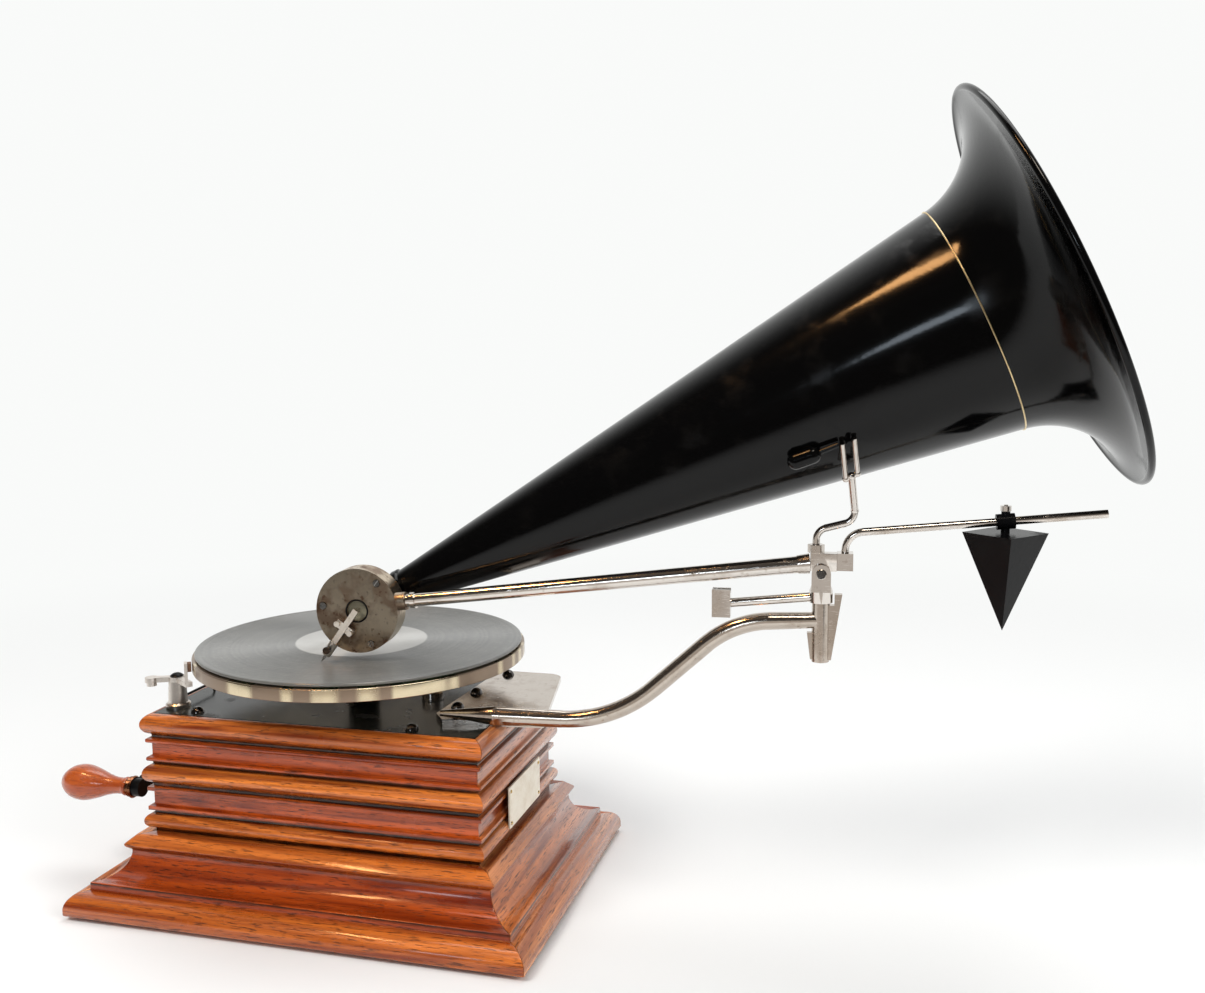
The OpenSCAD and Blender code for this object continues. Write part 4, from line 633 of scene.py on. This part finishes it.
class Workshop:
    """Mesh helpers shared by the sub-assemblies."""

    GUIDE_R = 0.0005

    def __init__(self) -> None:
        """Builds the turning tree once."""
        self.turning = self._turning_tree()

    @staticmethod
    def _turning_tree() -> bpy.types.NodeTree:
        """Geometry Nodes tree that turns a profile round the Z axis.

        Returns:
            The tree, with inputs for the profile, the guide's radius, the facets and the finish.
        """
        inputs = {"Geometry": "NodeSocketGeometry", "Guide Radius": "NodeSocketFloat",
                  "Facets": "NodeSocketInt", "Finish": "NodeSocketMaterial"}
        outputs = {"Geometry": "NodeSocketGeometry"}
        g, start, end = new_group("turned_piece", inputs, outputs, "GeometryNodeTree")
        guide = g.add("GeometryNodeCurvePrimitiveCircle",
                      {"Resolution": start.outputs["Facets"], "Radius": start.outputs["Guide Radius"]})
        swept = g.add("GeometryNodeCurveToMesh", {0: guide.outputs[0], 1: start.outputs["Geometry"]})
        solid = g.add("GeometryNodeRealizeInstances", {0: swept.outputs[0]})
        dressed = g.add("GeometryNodeSetMaterial",
                        {0: solid.outputs[0], "Material": start.outputs["Finish"]})
        g.fill(end, {0: dressed.outputs[0]})
        return g.tree

    @staticmethod
    def evaluated(obj: bpy.types.Object) -> bpy.types.Mesh:
        """Copies an object, with its modifiers, to a plain mesh."""
        depsgraph = bpy.context.evaluated_depsgraph_get()
        return bpy.data.meshes.new_from_object(obj.evaluated_get(depsgraph), depsgraph=depsgraph)

    def run_tree(self, obj: bpy.types.Object, tree: bpy.types.NodeTree,
                 inputs: dict[str, Any]) -> bpy.types.Mesh:
        """Runs a Geometry Nodes tree on a curve and keeps the result.

        Args:
            obj: The curve object; it is removed.
            tree: The tree.
            inputs: Values by input name.

        Returns:
            The resulting plain mesh.
        """
        modifier = obj.modifiers.new("tree", "NODES")
        modifier.node_group = tree
        for item in tree.interface.items_tree:
            if item.item_type == "SOCKET" and item.in_out == "INPUT" and item.name in inputs:
                modifier[item.identifier] = inputs[item.name]
        mesh = self.evaluated(obj)
        obj.modifiers.remove(modifier)
        curve = obj.data
        bpy.data.objects.remove(obj)
        bpy.data.curves.remove(curve)
        return mesh

    def turned(self, name: str, profile: Sequence[Point], finish: bpy.types.Material, place: Matrix,
               closed: bool = True, facets: int = 128, sharp: float = 40.0) -> bpy.types.Object:
        """Turns a profile into a piece.

        Args:
            name: The piece's name.
            profile: Radius and height of each point, in metres.
            finish: The piece's material.
            place: Where the turning axis lies: its Z axis and its origin.
            closed: Whether the profile runs back to its first point.
            facets: Facets round the axis.
            sharp: Edges sharper than this many degrees stay crisp.

        Returns:
            The new object, with its place in its mesh.
        """
        guide = self.GUIDE_R
        curve = bpy.data.curves.new(name + "_profile", "CURVE")
        curve.dimensions = "3D"
        spline = curve.splines.new("POLY")
        spline.points.add(len(profile) - 1)
        spline.use_cyclic_u = closed
        for point, (radius, height) in zip(spline.points, profile):
            point.co = (radius - guide, -height, 0.0, 1.0)
        inputs = {"Guide Radius": guide, "Facets": facets, "Finish": finish}
        mesh = self.run_tree(new_object(name + "_blank", curve), self.turning, inputs)
        mesh.transform(place)
        return self.finish_mesh(name, mesh, finish, sharp)

    @staticmethod
    def finish_mesh(name: str, mesh: bpy.types.Mesh, finish: bpy.types.Material,
                    sharp: float) -> bpy.types.Object:
        """Merges doubles, turns the faces outwards, shades the mesh and links it.

        Args:
            name: The piece's name.
            mesh: Its mesh, in the CAD frame.
            finish: Its material.
            sharp: Edges sharper than this many degrees stay crisp.

        Returns:
            The new object.
        """
        work = bmesh.new()
        work.from_mesh(mesh)
        bmesh.ops.remove_doubles(work, verts=work.verts, dist=1e-6)
        bmesh.ops.dissolve_degenerate(work, edges=work.edges, dist=1e-7)
        bmesh.ops.recalc_face_normals(work, faces=work.faces)
        work.to_mesh(mesh)
        work.free()
        mesh.name = name
        mesh.materials.clear()
        mesh.materials.append(finish)
        mesh.polygons.foreach_set("material_index", [0] * len(mesh.polygons))
        mesh.shade_smooth()
        mesh.set_sharp_from_angle(angle=math.radians(sharp))
        return new_object(name, mesh)

    def softened(self, node: str, finish: bpy.types.Material, width: float, slot: str,
                 limit: float = 28.0, sharp: float = 45.0) -> bpy.types.Object:
        """Copies a CAD node with rounded arrises, and lets the copy stand for it.

        Args:
            node: The CAD node.
            finish: The copy's material.
            width: Width of the rounding, in metres.
            slot: The record's material slot; not used.
            limit: Edges flatter than this many degrees aren't rounded.
            sharp: Edges of the copy sharper than this many degrees stay crisp.

        Returns:
            The copy.
        """
        mesh = frame["nodes"][node].data.copy()
        work = bmesh.new()
        work.from_mesh(mesh)
        bmesh.ops.remove_doubles(work, verts=work.verts, dist=2e-6)
        bmesh.ops.dissolve_limit(work, angle_limit=math.radians(0.6), verts=work.verts, edges=work.edges,
                                 delimit=set())
        work.to_mesh(mesh)
        work.free()
        blank = new_object(node + "_blank", mesh)
        bevel = blank.modifiers.new("arris", "BEVEL")
        bevel.width, bevel.segments, bevel.limit_method = width, 2, "ANGLE"
        bevel.angle_limit, bevel.use_clamp_overlap = math.radians(limit), True
        rounded = self.evaluated(blank)
        bpy.data.objects.remove(blank)
        bpy.data.meshes.remove(mesh)
        piece = self.finish_mesh(node + "_soft", rounded, finish, sharp)
        return self.seat(piece, body_of(node), slot, node)

    @staticmethod
    def seat(piece: bpy.types.Object, body: str, slot: str, *nodes: str) -> bpy.types.Object:
        """Lets a piece ride on a body and stand for CAD nodes."""
        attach(piece, body)
        if nodes:
            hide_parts(*nodes)
        LOG.info("%s rides on %s", piece.name, body)
        return piece


def body_of(node: str) -> str:
    """Gives the CAD body that a node belongs to."""
    return frame["nodes"][node]["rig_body"]


def dress(finish: bpy.types.Material, *nodes: str) -> None:
    """Gives CAD nodes one finish."""
    for node in nodes:
        obj = frame["nodes"][node]
        obj.data.materials.clear()
        obj.data.materials.append(finish)
        LOG.info("%s takes %s", node, finish.name)


def arc(centre: Point, radius: float, start: float, end: float, steps: int) -> list[Point]:
    """Points of an arc.

    Args:
        centre: The arc's middle.
        radius: Its radius.
        start: First angle, in degrees.
        end: Last angle, in degrees.
        steps: How many steps it takes.

    Returns:
        The points, both ends included.
    """
    angles = [math.radians(start + (end - start) * k / steps) for k in range(steps + 1)]
    return [(centre[0] + radius * math.cos(a), centre[1] + radius * math.sin(a)) for a in angles]


def smooth_line(points: Sequence[Point], steps: int) -> list[Point]:
    """Smooth curve through points, by Catmull-Rom pieces.

    Args:
        points: The points that it passes.
        steps: Steps between two points.

    Returns:
        The finer line.
    """
    line: list[Point] = []
    padded = [points[0], *points, points[-1]]
    for a, b, c, d in zip(padded, padded[1:], padded[2:], padded[3:]):
        for k in range(steps):
            t = k / steps
            line.append(tuple(
                0.5 * (2 * q + (r - p) * t + (2 * p - 5 * q + 4 * r - s) * t * t
                       + (3 * q - p - 3 * r + s) * t ** 3)
                for p, q, r, s in zip(a, b, c, d)))
    line.append(tuple(points[-1]))
    return line


def wire_section(centre: Point, radius: float) -> list[Point]:
    """Round section of a thin wire, to be turned to a ring."""
    return arc(centre, radius, 0, 330, 11)


@dataclass
class ArmFrame:
    """Place of the travelling arm: its pivot, its direction and the soundbox at its end."""

    pivot: Point = (0.2535, -0.0205)
    turn: float = 4.7
    box_reach: float = 0.232
    box_height: float = 0.16031

    def matrix(self) -> Matrix:
        """Frame with X along the arm and the pivot's axis on Z."""
        return Matrix.Translation((*self.pivot, 0.0)) @ Matrix.Rotation(math.radians(self.turn), 4, "Z")


@dataclass
class Case:
    """Moulded oak case with its boards, feet, screws and blank plate."""

    shop: Workshop
    finishes: Finishes
    arris: float = 0.0006

    def build(self) -> None:
        """Rounds the mouldings and dresses the rest."""
        for tier in ("plinth", "waist", "cornice"):
            for rail, side in (("long", "front"), ("end", "side")):
                finish = self.finishes[f"oak_{tier}_{side}"]
                self.shop.softened(f"{tier}_rails_{rail}", finish, self.arris, "oak")
        dress(self.finishes["plain_wood"], "bottom_board")
        dress(self.finishes["board_black"], "motor_board")
        dress(self.finishes["rubber"], "feet")
        dress(self.finishes["cream_enamel"], "name_plate")
        dress(self.finishes["brass"], "name_plate_pins")
        dress(self.finishes["blued_steel"], "dome_screws")


@dataclass
class Turntable:
    """Platter, felt and disc record on their spindle."""

    shop: Workshop
    finishes: Finishes
    centre: Point = Finishes.SPINDLE
    record_r: float = 0.0875
    record_edge: float = 0.0007
    groove_outer: float = 0.0845
    groove_inner: float = 0.0358
    groove_depth: float = 0.00014
    groove_slope: float = 0.0004
    needle_room: float = 0.0001
    hole_r: float = 0.00354
    hole_edge: float = 0.0004
    facets: int = 192
    platter_r: float = 0.089
    platter_h: float = 0.0066
    platter_rim: float = 0.004
    platter_web: float = 0.003
    platter_edge: float = 0.0006
    hub_r: float = 0.011

    def build(self) -> None:
        """Turns the platter and the disc, and dresses the rest."""
        self._platter()
        self._record()
        dress(self.finishes["felt"], "felt_mat")
        dress(self.finishes["steel"], "spindle")
        dress(self.finishes["black_iron"], "spindle_bush")

    def _platter(self) -> None:
        """Turns the platter: a hub, a web and a plain rim with rounded arrises."""
        low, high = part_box("platter")
        top, web, foot = high.z, high.z - self.platter_web, high.z - self.platter_h
        bore, inner, edge = self.hole_r, self.platter_r - self.platter_rim, self.platter_edge
        profile = [(bore, low.z), (self.hub_r, low.z), (self.hub_r, web), (inner, web), (inner, foot)]
        profile += arc((self.platter_r - edge, foot + edge), edge, -90, 0, 5)
        profile += arc((self.platter_r - edge, top - edge), edge, 0, 90, 5)
        profile.append((bore, top))
        place = Matrix.Translation((*self.centre, 0.0))
        finish = self.finishes["platter_nickel"]
        piece = self.shop.turned("platter_turning", profile, finish, place, facets=self.facets)
        self.shop.seat(piece, "turntable", "nickel", "platter")

    def _record(self) -> None:
        """Turns the disc: a rounded edge, a raised rim, a sunk groove band and a bare middle."""
        low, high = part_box("record")
        bottom, top = low.z, high.z - self.needle_room
        edge, sunk, slope = self.record_edge, top - self.groove_depth, self.groove_slope
        profile = [(self.hole_r, bottom), (self.record_r - edge, bottom)]
        profile += arc((self.record_r - edge, bottom + edge), edge, -90, 0, 5)
        profile += arc((self.record_r - edge, top - edge), edge, 0, 90, 5)
        profile += [(self.groove_outer + slope, top), (self.groove_outer, sunk)]
        profile += [(self.groove_inner, sunk), (self.groove_inner - slope, top)]
        profile += [(self.hole_r + self.hole_edge, top), (self.hole_r, top - self.hole_edge)]
        place = Matrix.Translation((*self.centre, 0.0))
        finish = self.finishes["shellac"]
        piece = self.shop.turned("record_disc", profile, finish, place, facets=self.facets)
        self.shop.seat(piece, "turntable", "shellac", "record")


@dataclass
class Horn:
    """Sheet-metal horn: a long cone, a flared bell with a rolled rim, and a gilt line."""

    shop: Workshop
    finishes: Finishes
    arm: ArmFrame
    back: float = 0.020
    slope: float = 25.4
    elbow_bend: float = 0.008
    cone_from: float = 0.010
    cone_l: float = 0.324
    small_r: float = 0.0086
    cone_r: float = 0.0555
    flare_r: float = 0.040
    lip_w: float = 0.012
    lip_lean: float = 78.0
    sheet_t: float = 0.0009
    rim_r: float = 0.0017
    gilt_wire: float = 0.0004
    gilt_lift: float = 0.0001
    facets: int = 192

    def place(self) -> Matrix:
        """Horn frame, with Z along the horn to its mouth."""
        tilt = math.radians(self.slope)
        elbow = Vector((self.elbow_bend * math.cos(tilt) - self.arm.box_reach, self.back,
                        self.arm.box_height + self.elbow_bend * math.sin(tilt)))
        return self.arm.matrix() @ Matrix.Translation(elbow) @ Matrix.Rotation(math.pi / 2 - tilt, 4, "Y")

    def build(self) -> None:
        """Turns the bell and the gilt line, and dresses the cone and the elbow."""
        lacquer = self.finishes["horn_lacquer"]
        self._bell(lacquer)
        dress(lacquer, "horn_cone", "elbow")
        self._gilt_line()

    @property
    def lean(self) -> float:
        """Slope of the cone's wall from its axis, in degrees."""
        return math.degrees(math.atan((self.cone_r - self.small_r) / (self.cone_l - self.cone_from)))

    def _flare(self, radius: float, steps: int = 40) -> list[Point]:
        """Points of the flare's arc at a given radius from its middle."""
        lean = math.radians(self.lean)
        across, along = self.flare_r * math.cos(lean), self.flare_r * math.sin(lean)
        middle = (self.cone_r + across, self.cone_l - along)
        return arc(middle, radius, 180 - self.lean, 180 - self.lip_lean, steps)

    def _bell(self, lacquer: bpy.types.Material) -> None:
        """Turns the flared bell with its rolled rim."""
        lean = math.radians(self.lip_lean)
        lip = (self.lip_w * math.sin(lean), self.lip_w * math.cos(lean))
        outside, inside = self._flare(self.flare_r), self._flare(self.flare_r + self.sheet_t)
        last, last_in = [(p[-1][0] + lip[0], p[-1][1] + lip[1]) for p in (outside, inside)]
        middle = ((last[0] + last_in[0]) / 2, (last[1] + last_in[1]) / 2)
        turn = 90 - self.lip_lean
        roll = arc(middle, self.rim_r, turn - 150, turn + 150, 16)
        profile = outside + roll + list(reversed(inside))
        piece = self.shop.turned("horn_bell_skin", profile, lacquer, self.place(),
                                 facets=self.facets, sharp=60.0)
        self.shop.seat(piece, "arm", "black_lacquer", "horn_bell")

    def _gilt_line(self) -> None:
        """Turns the thin gilt line where the bell is joined to the cone."""
        ring = wire_section((self.cone_r + self.gilt_lift, self.cone_l), self.gilt_wire)
        finish = self.finishes["gold_line"]
        piece = self.shop.turned("horn_gilt_line", ring, finish, self.place(), facets=self.facets)
        self.shop.seat(piece, "arm", "brass")


@dataclass
class Carriage:
    """Support arm, swivel, travelling arm, counterweight, soundbox and brake."""

    shop: Workshop
    finishes: Finishes
    arm: ArmFrame
    face_height: float = 0.0025
    eye_r: float = 0.0052
    eye_wire: float = 0.00045
    block_arris: float = 0.0004
    weight_arris: float = 0.0005
    crisp: float = 22.0

    def build(self) -> None:
        """Rounds the arrises of the blocks, rings the soundbox's eye with painted shade and dresses the rest.
        """
        for block in ("swivel_head", "arm_knuckle"):
            self.shop.softened(block, self.finishes["nickel"], self.block_arris, "nickel", sharp=self.crisp)
        self.shop.softened("counterweight", self.finishes["black_iron"], self.weight_arris, "black_iron",
                           sharp=self.crisp)
        self._eye_shade_ring()
        dress(self.finishes["worn_nickel"], "support_arm")
        dress(self.finishes["nickel"], "travelling_arm", "counter_rod", "horn_rest", "weight_screw",
              "crank_bush", "regulator_screw")
        dress(self.finishes["brake_nickel"], "brake_post", "brake_lever")
        dress(self.finishes["steel"], "hinge_pin", "needle", "soundbox_screws")
        dress(self.finishes["satin_nickel"], "stylus_bar")
        dress(self.finishes["blued_steel"], "needle_screw")
        dress(self.finishes["pewter"], "soundbox_back", "soundbox_face")
        dress(self.finishes["mica"], "diaphragm")
        dress(self.finishes["black_iron"], "brake_spring", "brake_screw")
        dress(self.finishes["leather"], "brake_pad")

    def _eye_shade_ring(self) -> None:
        """Turns a black ring round the opening in the soundbox's face, standing in for the shade at its
        chamfer.
        """
        ring = wire_section((self.eye_r + self.eye_wire, self.face_height), self.eye_wire)
        at = Matrix.Translation((-self.arm.box_reach, 0.0, self.arm.box_height))
        place = self.arm.matrix() @ at @ Matrix.Rotation(math.pi / 2, 4, "X")
        finish = self.finishes["black_iron"]
        piece = self.shop.turned("soundbox_eye_shade_ring", ring, finish, place, facets=64)
        self.shop.seat(piece, "arm", "black_iron")


@dataclass
class Crank:
    """Winding crank with its turned handle."""

    shop: Workshop
    finishes: Finishes
    length: float = 0.042
    widest: float = 0.010

    def build(self) -> None:
        """Turns the handle and dresses the rest."""
        dress(self.finishes["black_iron"], "crank")
        dress(self.finishes["dark_brass"], "crank_ferrule")
        self._handle()

    def _handle(self) -> None:
        """Turns the pear-shaped handle from one smooth profile."""
        low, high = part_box("crank_handle")
        length, widest = self.length, self.widest
        knots = [(0.0048, 0.0), (0.0052, 0.0012), (0.0046, 0.0034), (0.0047, 0.19 * length),
                 (0.0060, 0.32 * length), (0.83 * widest, 0.48 * length), (widest, 0.66 * length),
                 (0.90 * widest, 0.82 * length), (0.56 * widest, 0.945 * length),
                 (0.20 * widest, 0.995 * length), (0.0, length)]
        profile = [(0.0, 0.0), *smooth_line(knots, 6)]
        middle = (low + high) / 2
        place = Matrix.Translation((high.x, middle.y, middle.z)) @ Matrix.Rotation(-math.pi / 2, 4, "Y")
        piece = self.shop.turned("handle_turning", profile, self.finishes["turned_handle"], place,
                                 closed=False, facets=64, sharp=50.0)
        self.shop.seat(piece, "handle", "red_wood", "crank_handle")


@dataclass
class Motor:
    """Spring motor inside the case."""

    finishes: Finishes

    def build(self) -> None:
        """Dresses the plates, wheels, spring and governor."""
        dress(self.finishes["brass"], "upper_plate", "lower_plate", "pillars", "spindle_wheel",
              "spring_barrel", "barrel_cover", "winding_wheel", "governor_weights")
        dress(self.finishes["steel"], "mainspring", "winding_arbor", "governor_shaft", "governor_springs",
              "click")
        dress(self.finishes["leather"], "friction_pad")


@dataclass
class Studio:
    """Pale floor, soft lights and the camera."""

    finishes: Finishes
    camera_at: tuple[float, float, float] = (0.3017, -0.5943, 0.2961)
    azimuth: float = 15.13
    elevation: float = 7.36
    roll: float = -0.53
    lens: float = 36.36
    backdrop: Colour = (0.95, 0.96, 0.95)
    room: Colour = (0.065, 0.057, 0.050)
    soft: Colour = (0.38, 0.39, 0.405)
    cloth: Colour = (0.86, 0.86, 0.85)
    floor_half: float = 8.0
    floor_middle: float = 0.1
    fade: Point = (0.35, 1.1)
    room_edge: Point = (-0.25, -0.65)
    plated: tuple[str, ...] = ("nickel", "worn_nickel", "satin_nickel", "platter_nickel")

    def build(self) -> None:
        """Sets up the floor, the world, the lamps and the camera."""
        bpy.context.scene.view_settings.view_transform = "Standard"
        self._floor()
        self._world()
        self._lamps()
        self._camera()

    def _floor(self) -> None:
        """Lays a wide floor that fades to the backdrop far off, and in mirrors to the room."""
        half = self.floor_half
        mesh = bpy.data.meshes.new("floor")
        corners = [(-half, -half, 0), (half, -half, 0), (half, half, 0), (-half, half, 0)]
        mesh.from_pydata(corners, [], [(0, 1, 2, 3)])
        floor = new_object("floor", mesh)
        material = bpy.data.materials.new("pale_floor")
        g = blank_graph(material)
        place = g.add("ShaderNodeTexCoord").outputs["Object"]
        away = g.length(g.stretch(place, (1, 1, 1), 0.0, (-self.floor_middle, 0.0, 0.0)))
        path = g.add("ShaderNodeLightPath")
        plain = g.math("MAXIMUM", path.outputs["Is Camera Ray"], path.outputs["Is Transmission Ray"])
        mirror = path.outputs["Is Glossy Ray"]
        before = g.math("MULTIPLY", g.span(g.part(place, 1), *self.room_edge), mirror)
        far = g.math("MAXIMUM", g.span(away, *self.fade), before)
        fade = g.math("MULTIPLY", far, g.math("MAXIMUM", plain, mirror))
        tone = g.mix(before, rgba(self.backdrop), rgba(self.room))
        cloth = g.add("ShaderNodeBsdfDiffuse", {"Color": rgba(self.cloth)})
        glow = g.add("ShaderNodeEmission", {"Color": tone, "Strength": 1.0})
        mixed = g.add("ShaderNodeMixShader", {0: fade, 1: cloth.outputs[0], 2: glow.outputs[0]})
        g.add("ShaderNodeOutputMaterial", {0: mixed.outputs[0]})
        mesh.materials.append(material)

    def _world(self) -> None:
        """Gives a white backdrop, which mirrors show with the dim room before it, and soft light."""
        world = bpy.data.worlds.new("studio")
        g = blank_graph(world)
        towards = g.part(g.add("ShaderNodeTexCoord").outputs["Generated"], 1)
        mirrored = g.mix(g.span(towards, -0.1, 0.7), rgba(self.room), rgba(self.backdrop))
        path = g.add("ShaderNodeLightPath")
        colour = g.mix(path.outputs["Is Glossy Ray"], rgba(self.soft), mirrored)
        plain = g.math("MAXIMUM", path.outputs["Is Camera Ray"], path.outputs["Is Transmission Ray"])
        shown = g.add("ShaderNodeBackground", {"Color": g.mix(plain, colour, rgba(self.backdrop))})
        g.add("ShaderNodeOutputWorld", {0: shown.outputs[0]})
        bpy.context.scene.world = world

    @staticmethod
    def _lamp(name: str, at: Sequence[float], aim: Sequence[float], size: Sequence[float], power: float,
              colour: Colour, task: LampTask = LampTask.BOTH) -> bpy.types.Object:
        """Adds one soft rectangular lamp.

        Args:
            name: The lamp's name.
            at: Its place, in metres.
            aim: The point it faces.
            size: Its width and height, in metres.
            power: Its power, in watts.
            colour: Its colour.
            task: Whether it lights surfaces, shows in gloss, or both.

        Returns:
            The lamp.
        """
        data = bpy.data.lights.new(name, "AREA")
        data.shape, data.size, data.size_y = "RECTANGLE", size[0], size[1]
        data.energy, data.color = power, colour
        lamp = new_object(name, data)
        lamp.location = at
        lamp.rotation_mode = "QUATERNION"
        lamp.rotation_quaternion = (Vector(aim) - Vector(at)).to_track_quat("-Z", "Y")
        lamp.visible_camera = False
        lamp.visible_glossy = task is not LampTask.LIGHT
        lamp.visible_diffuse = task is not LampTask.GLEAM
        return lamp

    def _plated_pieces(self) -> bpy.types.Collection:
        """Gathers the plated pieces, which a low panel brightens."""
        pieces = bpy.data.collections.new("plated_pieces")
        plated = {self.finishes[name] for name in self.plated}
        for obj in bpy.context.scene.objects:
            if obj.type == "MESH" and plated & set(obj.data.materials):
                pieces.objects.link(obj)
        return pieces

    def _lamps(self) -> None:
        """Hangs a key on the left, a fill on the right, a top light, three gleams and a low panel."""
        light, gleam = LampTask.LIGHT, LampTask.GLEAM
        aim, horn, low = (0.1, 0.0, 0.15), (0.3, -0.04, 0.32), (0.1, 0.0, 0.12)
        self._lamp("key", (-0.7, -1.3, 1.9), aim, (1.0, 0.8), 30.0, (1.0, 0.98, 0.95), light)
        self._lamp("fill", (1.6, -0.7, 0.9), aim, (0.9, 0.9), 15.0, (1.0, 0.99, 0.97), light)
        self._lamp("top", (0.2, 0.5, 1.9), aim, (1.6, 1.0), 16.0, (1.0, 1.0, 1.0))
        self._lamp("warm_gleam", (-0.47, -0.53, 1.51), horn, (0.36, 0.13), 6.0, (1.0, 0.52, 0.20), gleam)
        self._lamp("overhead_gleam", (0.45, -0.75, 1.75), aim, (0.5, 0.35), 7.5, (1.0, 0.90, 0.76), gleam)
        self._lamp("window_gleam", (-0.03, -1.49, 0.56), horn, (0.30, 0.14), 1.4, (0.78, 0.89, 1.0), gleam)
        panel = self._lamp("low_panel", (0.1, -0.45, 0.12), low, (0.9, 0.24), 0.36, (1.0, 0.94, 0.88), gleam)
        panel.light_linking.receiver_collection = self._plated_pieces()

    def _camera(self) -> None:
        """Sets the camera at the photograph's place and angle."""
        a, e, r = (math.radians(v) for v in (self.azimuth, self.elevation, self.roll))
        back = Vector((math.sin(a) * math.cos(e), -math.cos(a) * math.cos(e), math.sin(e)))
        right = Vector((math.cos(a), math.sin(a), 0.0))
        up = back.cross(right)
        across = math.cos(r) * right + math.sin(r) * up
        upright = math.cos(r) * up - math.sin(r) * right
        data = bpy.data.cameras.new("camera")
        data.lens, data.sensor_width, data.sensor_fit = self.lens, 36.0, "HORIZONTAL"
        data.clip_start, data.clip_end = 0.01, 50.0
        turned = Matrix((across, upright, back)).transposed().to_4x4()
        camera = new_object("camera", data)
        camera.matrix_world = Matrix.Translation(self.camera_at) @ turned
        bpy.context.scene.camera = camera


def main() -> None:
    """Builds the sub-assemblies in order."""
    logging.basicConfig(level=logging.INFO, format="%(name)s: %(message)s")
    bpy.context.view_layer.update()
    finishes, shop, arm = Finishes(), Workshop(), ArmFrame()
    for assembly in (Case(shop, finishes), Turntable(shop, finishes), Horn(shop, finishes, arm),
                     Carriage(shop, finishes, arm), Crank(shop, finishes), Motor(finishes), Studio(finishes)):
        assembly.build()
        LOG.info("%s done", type(assembly).__name__)


if __name__ == "__main__":
    main()
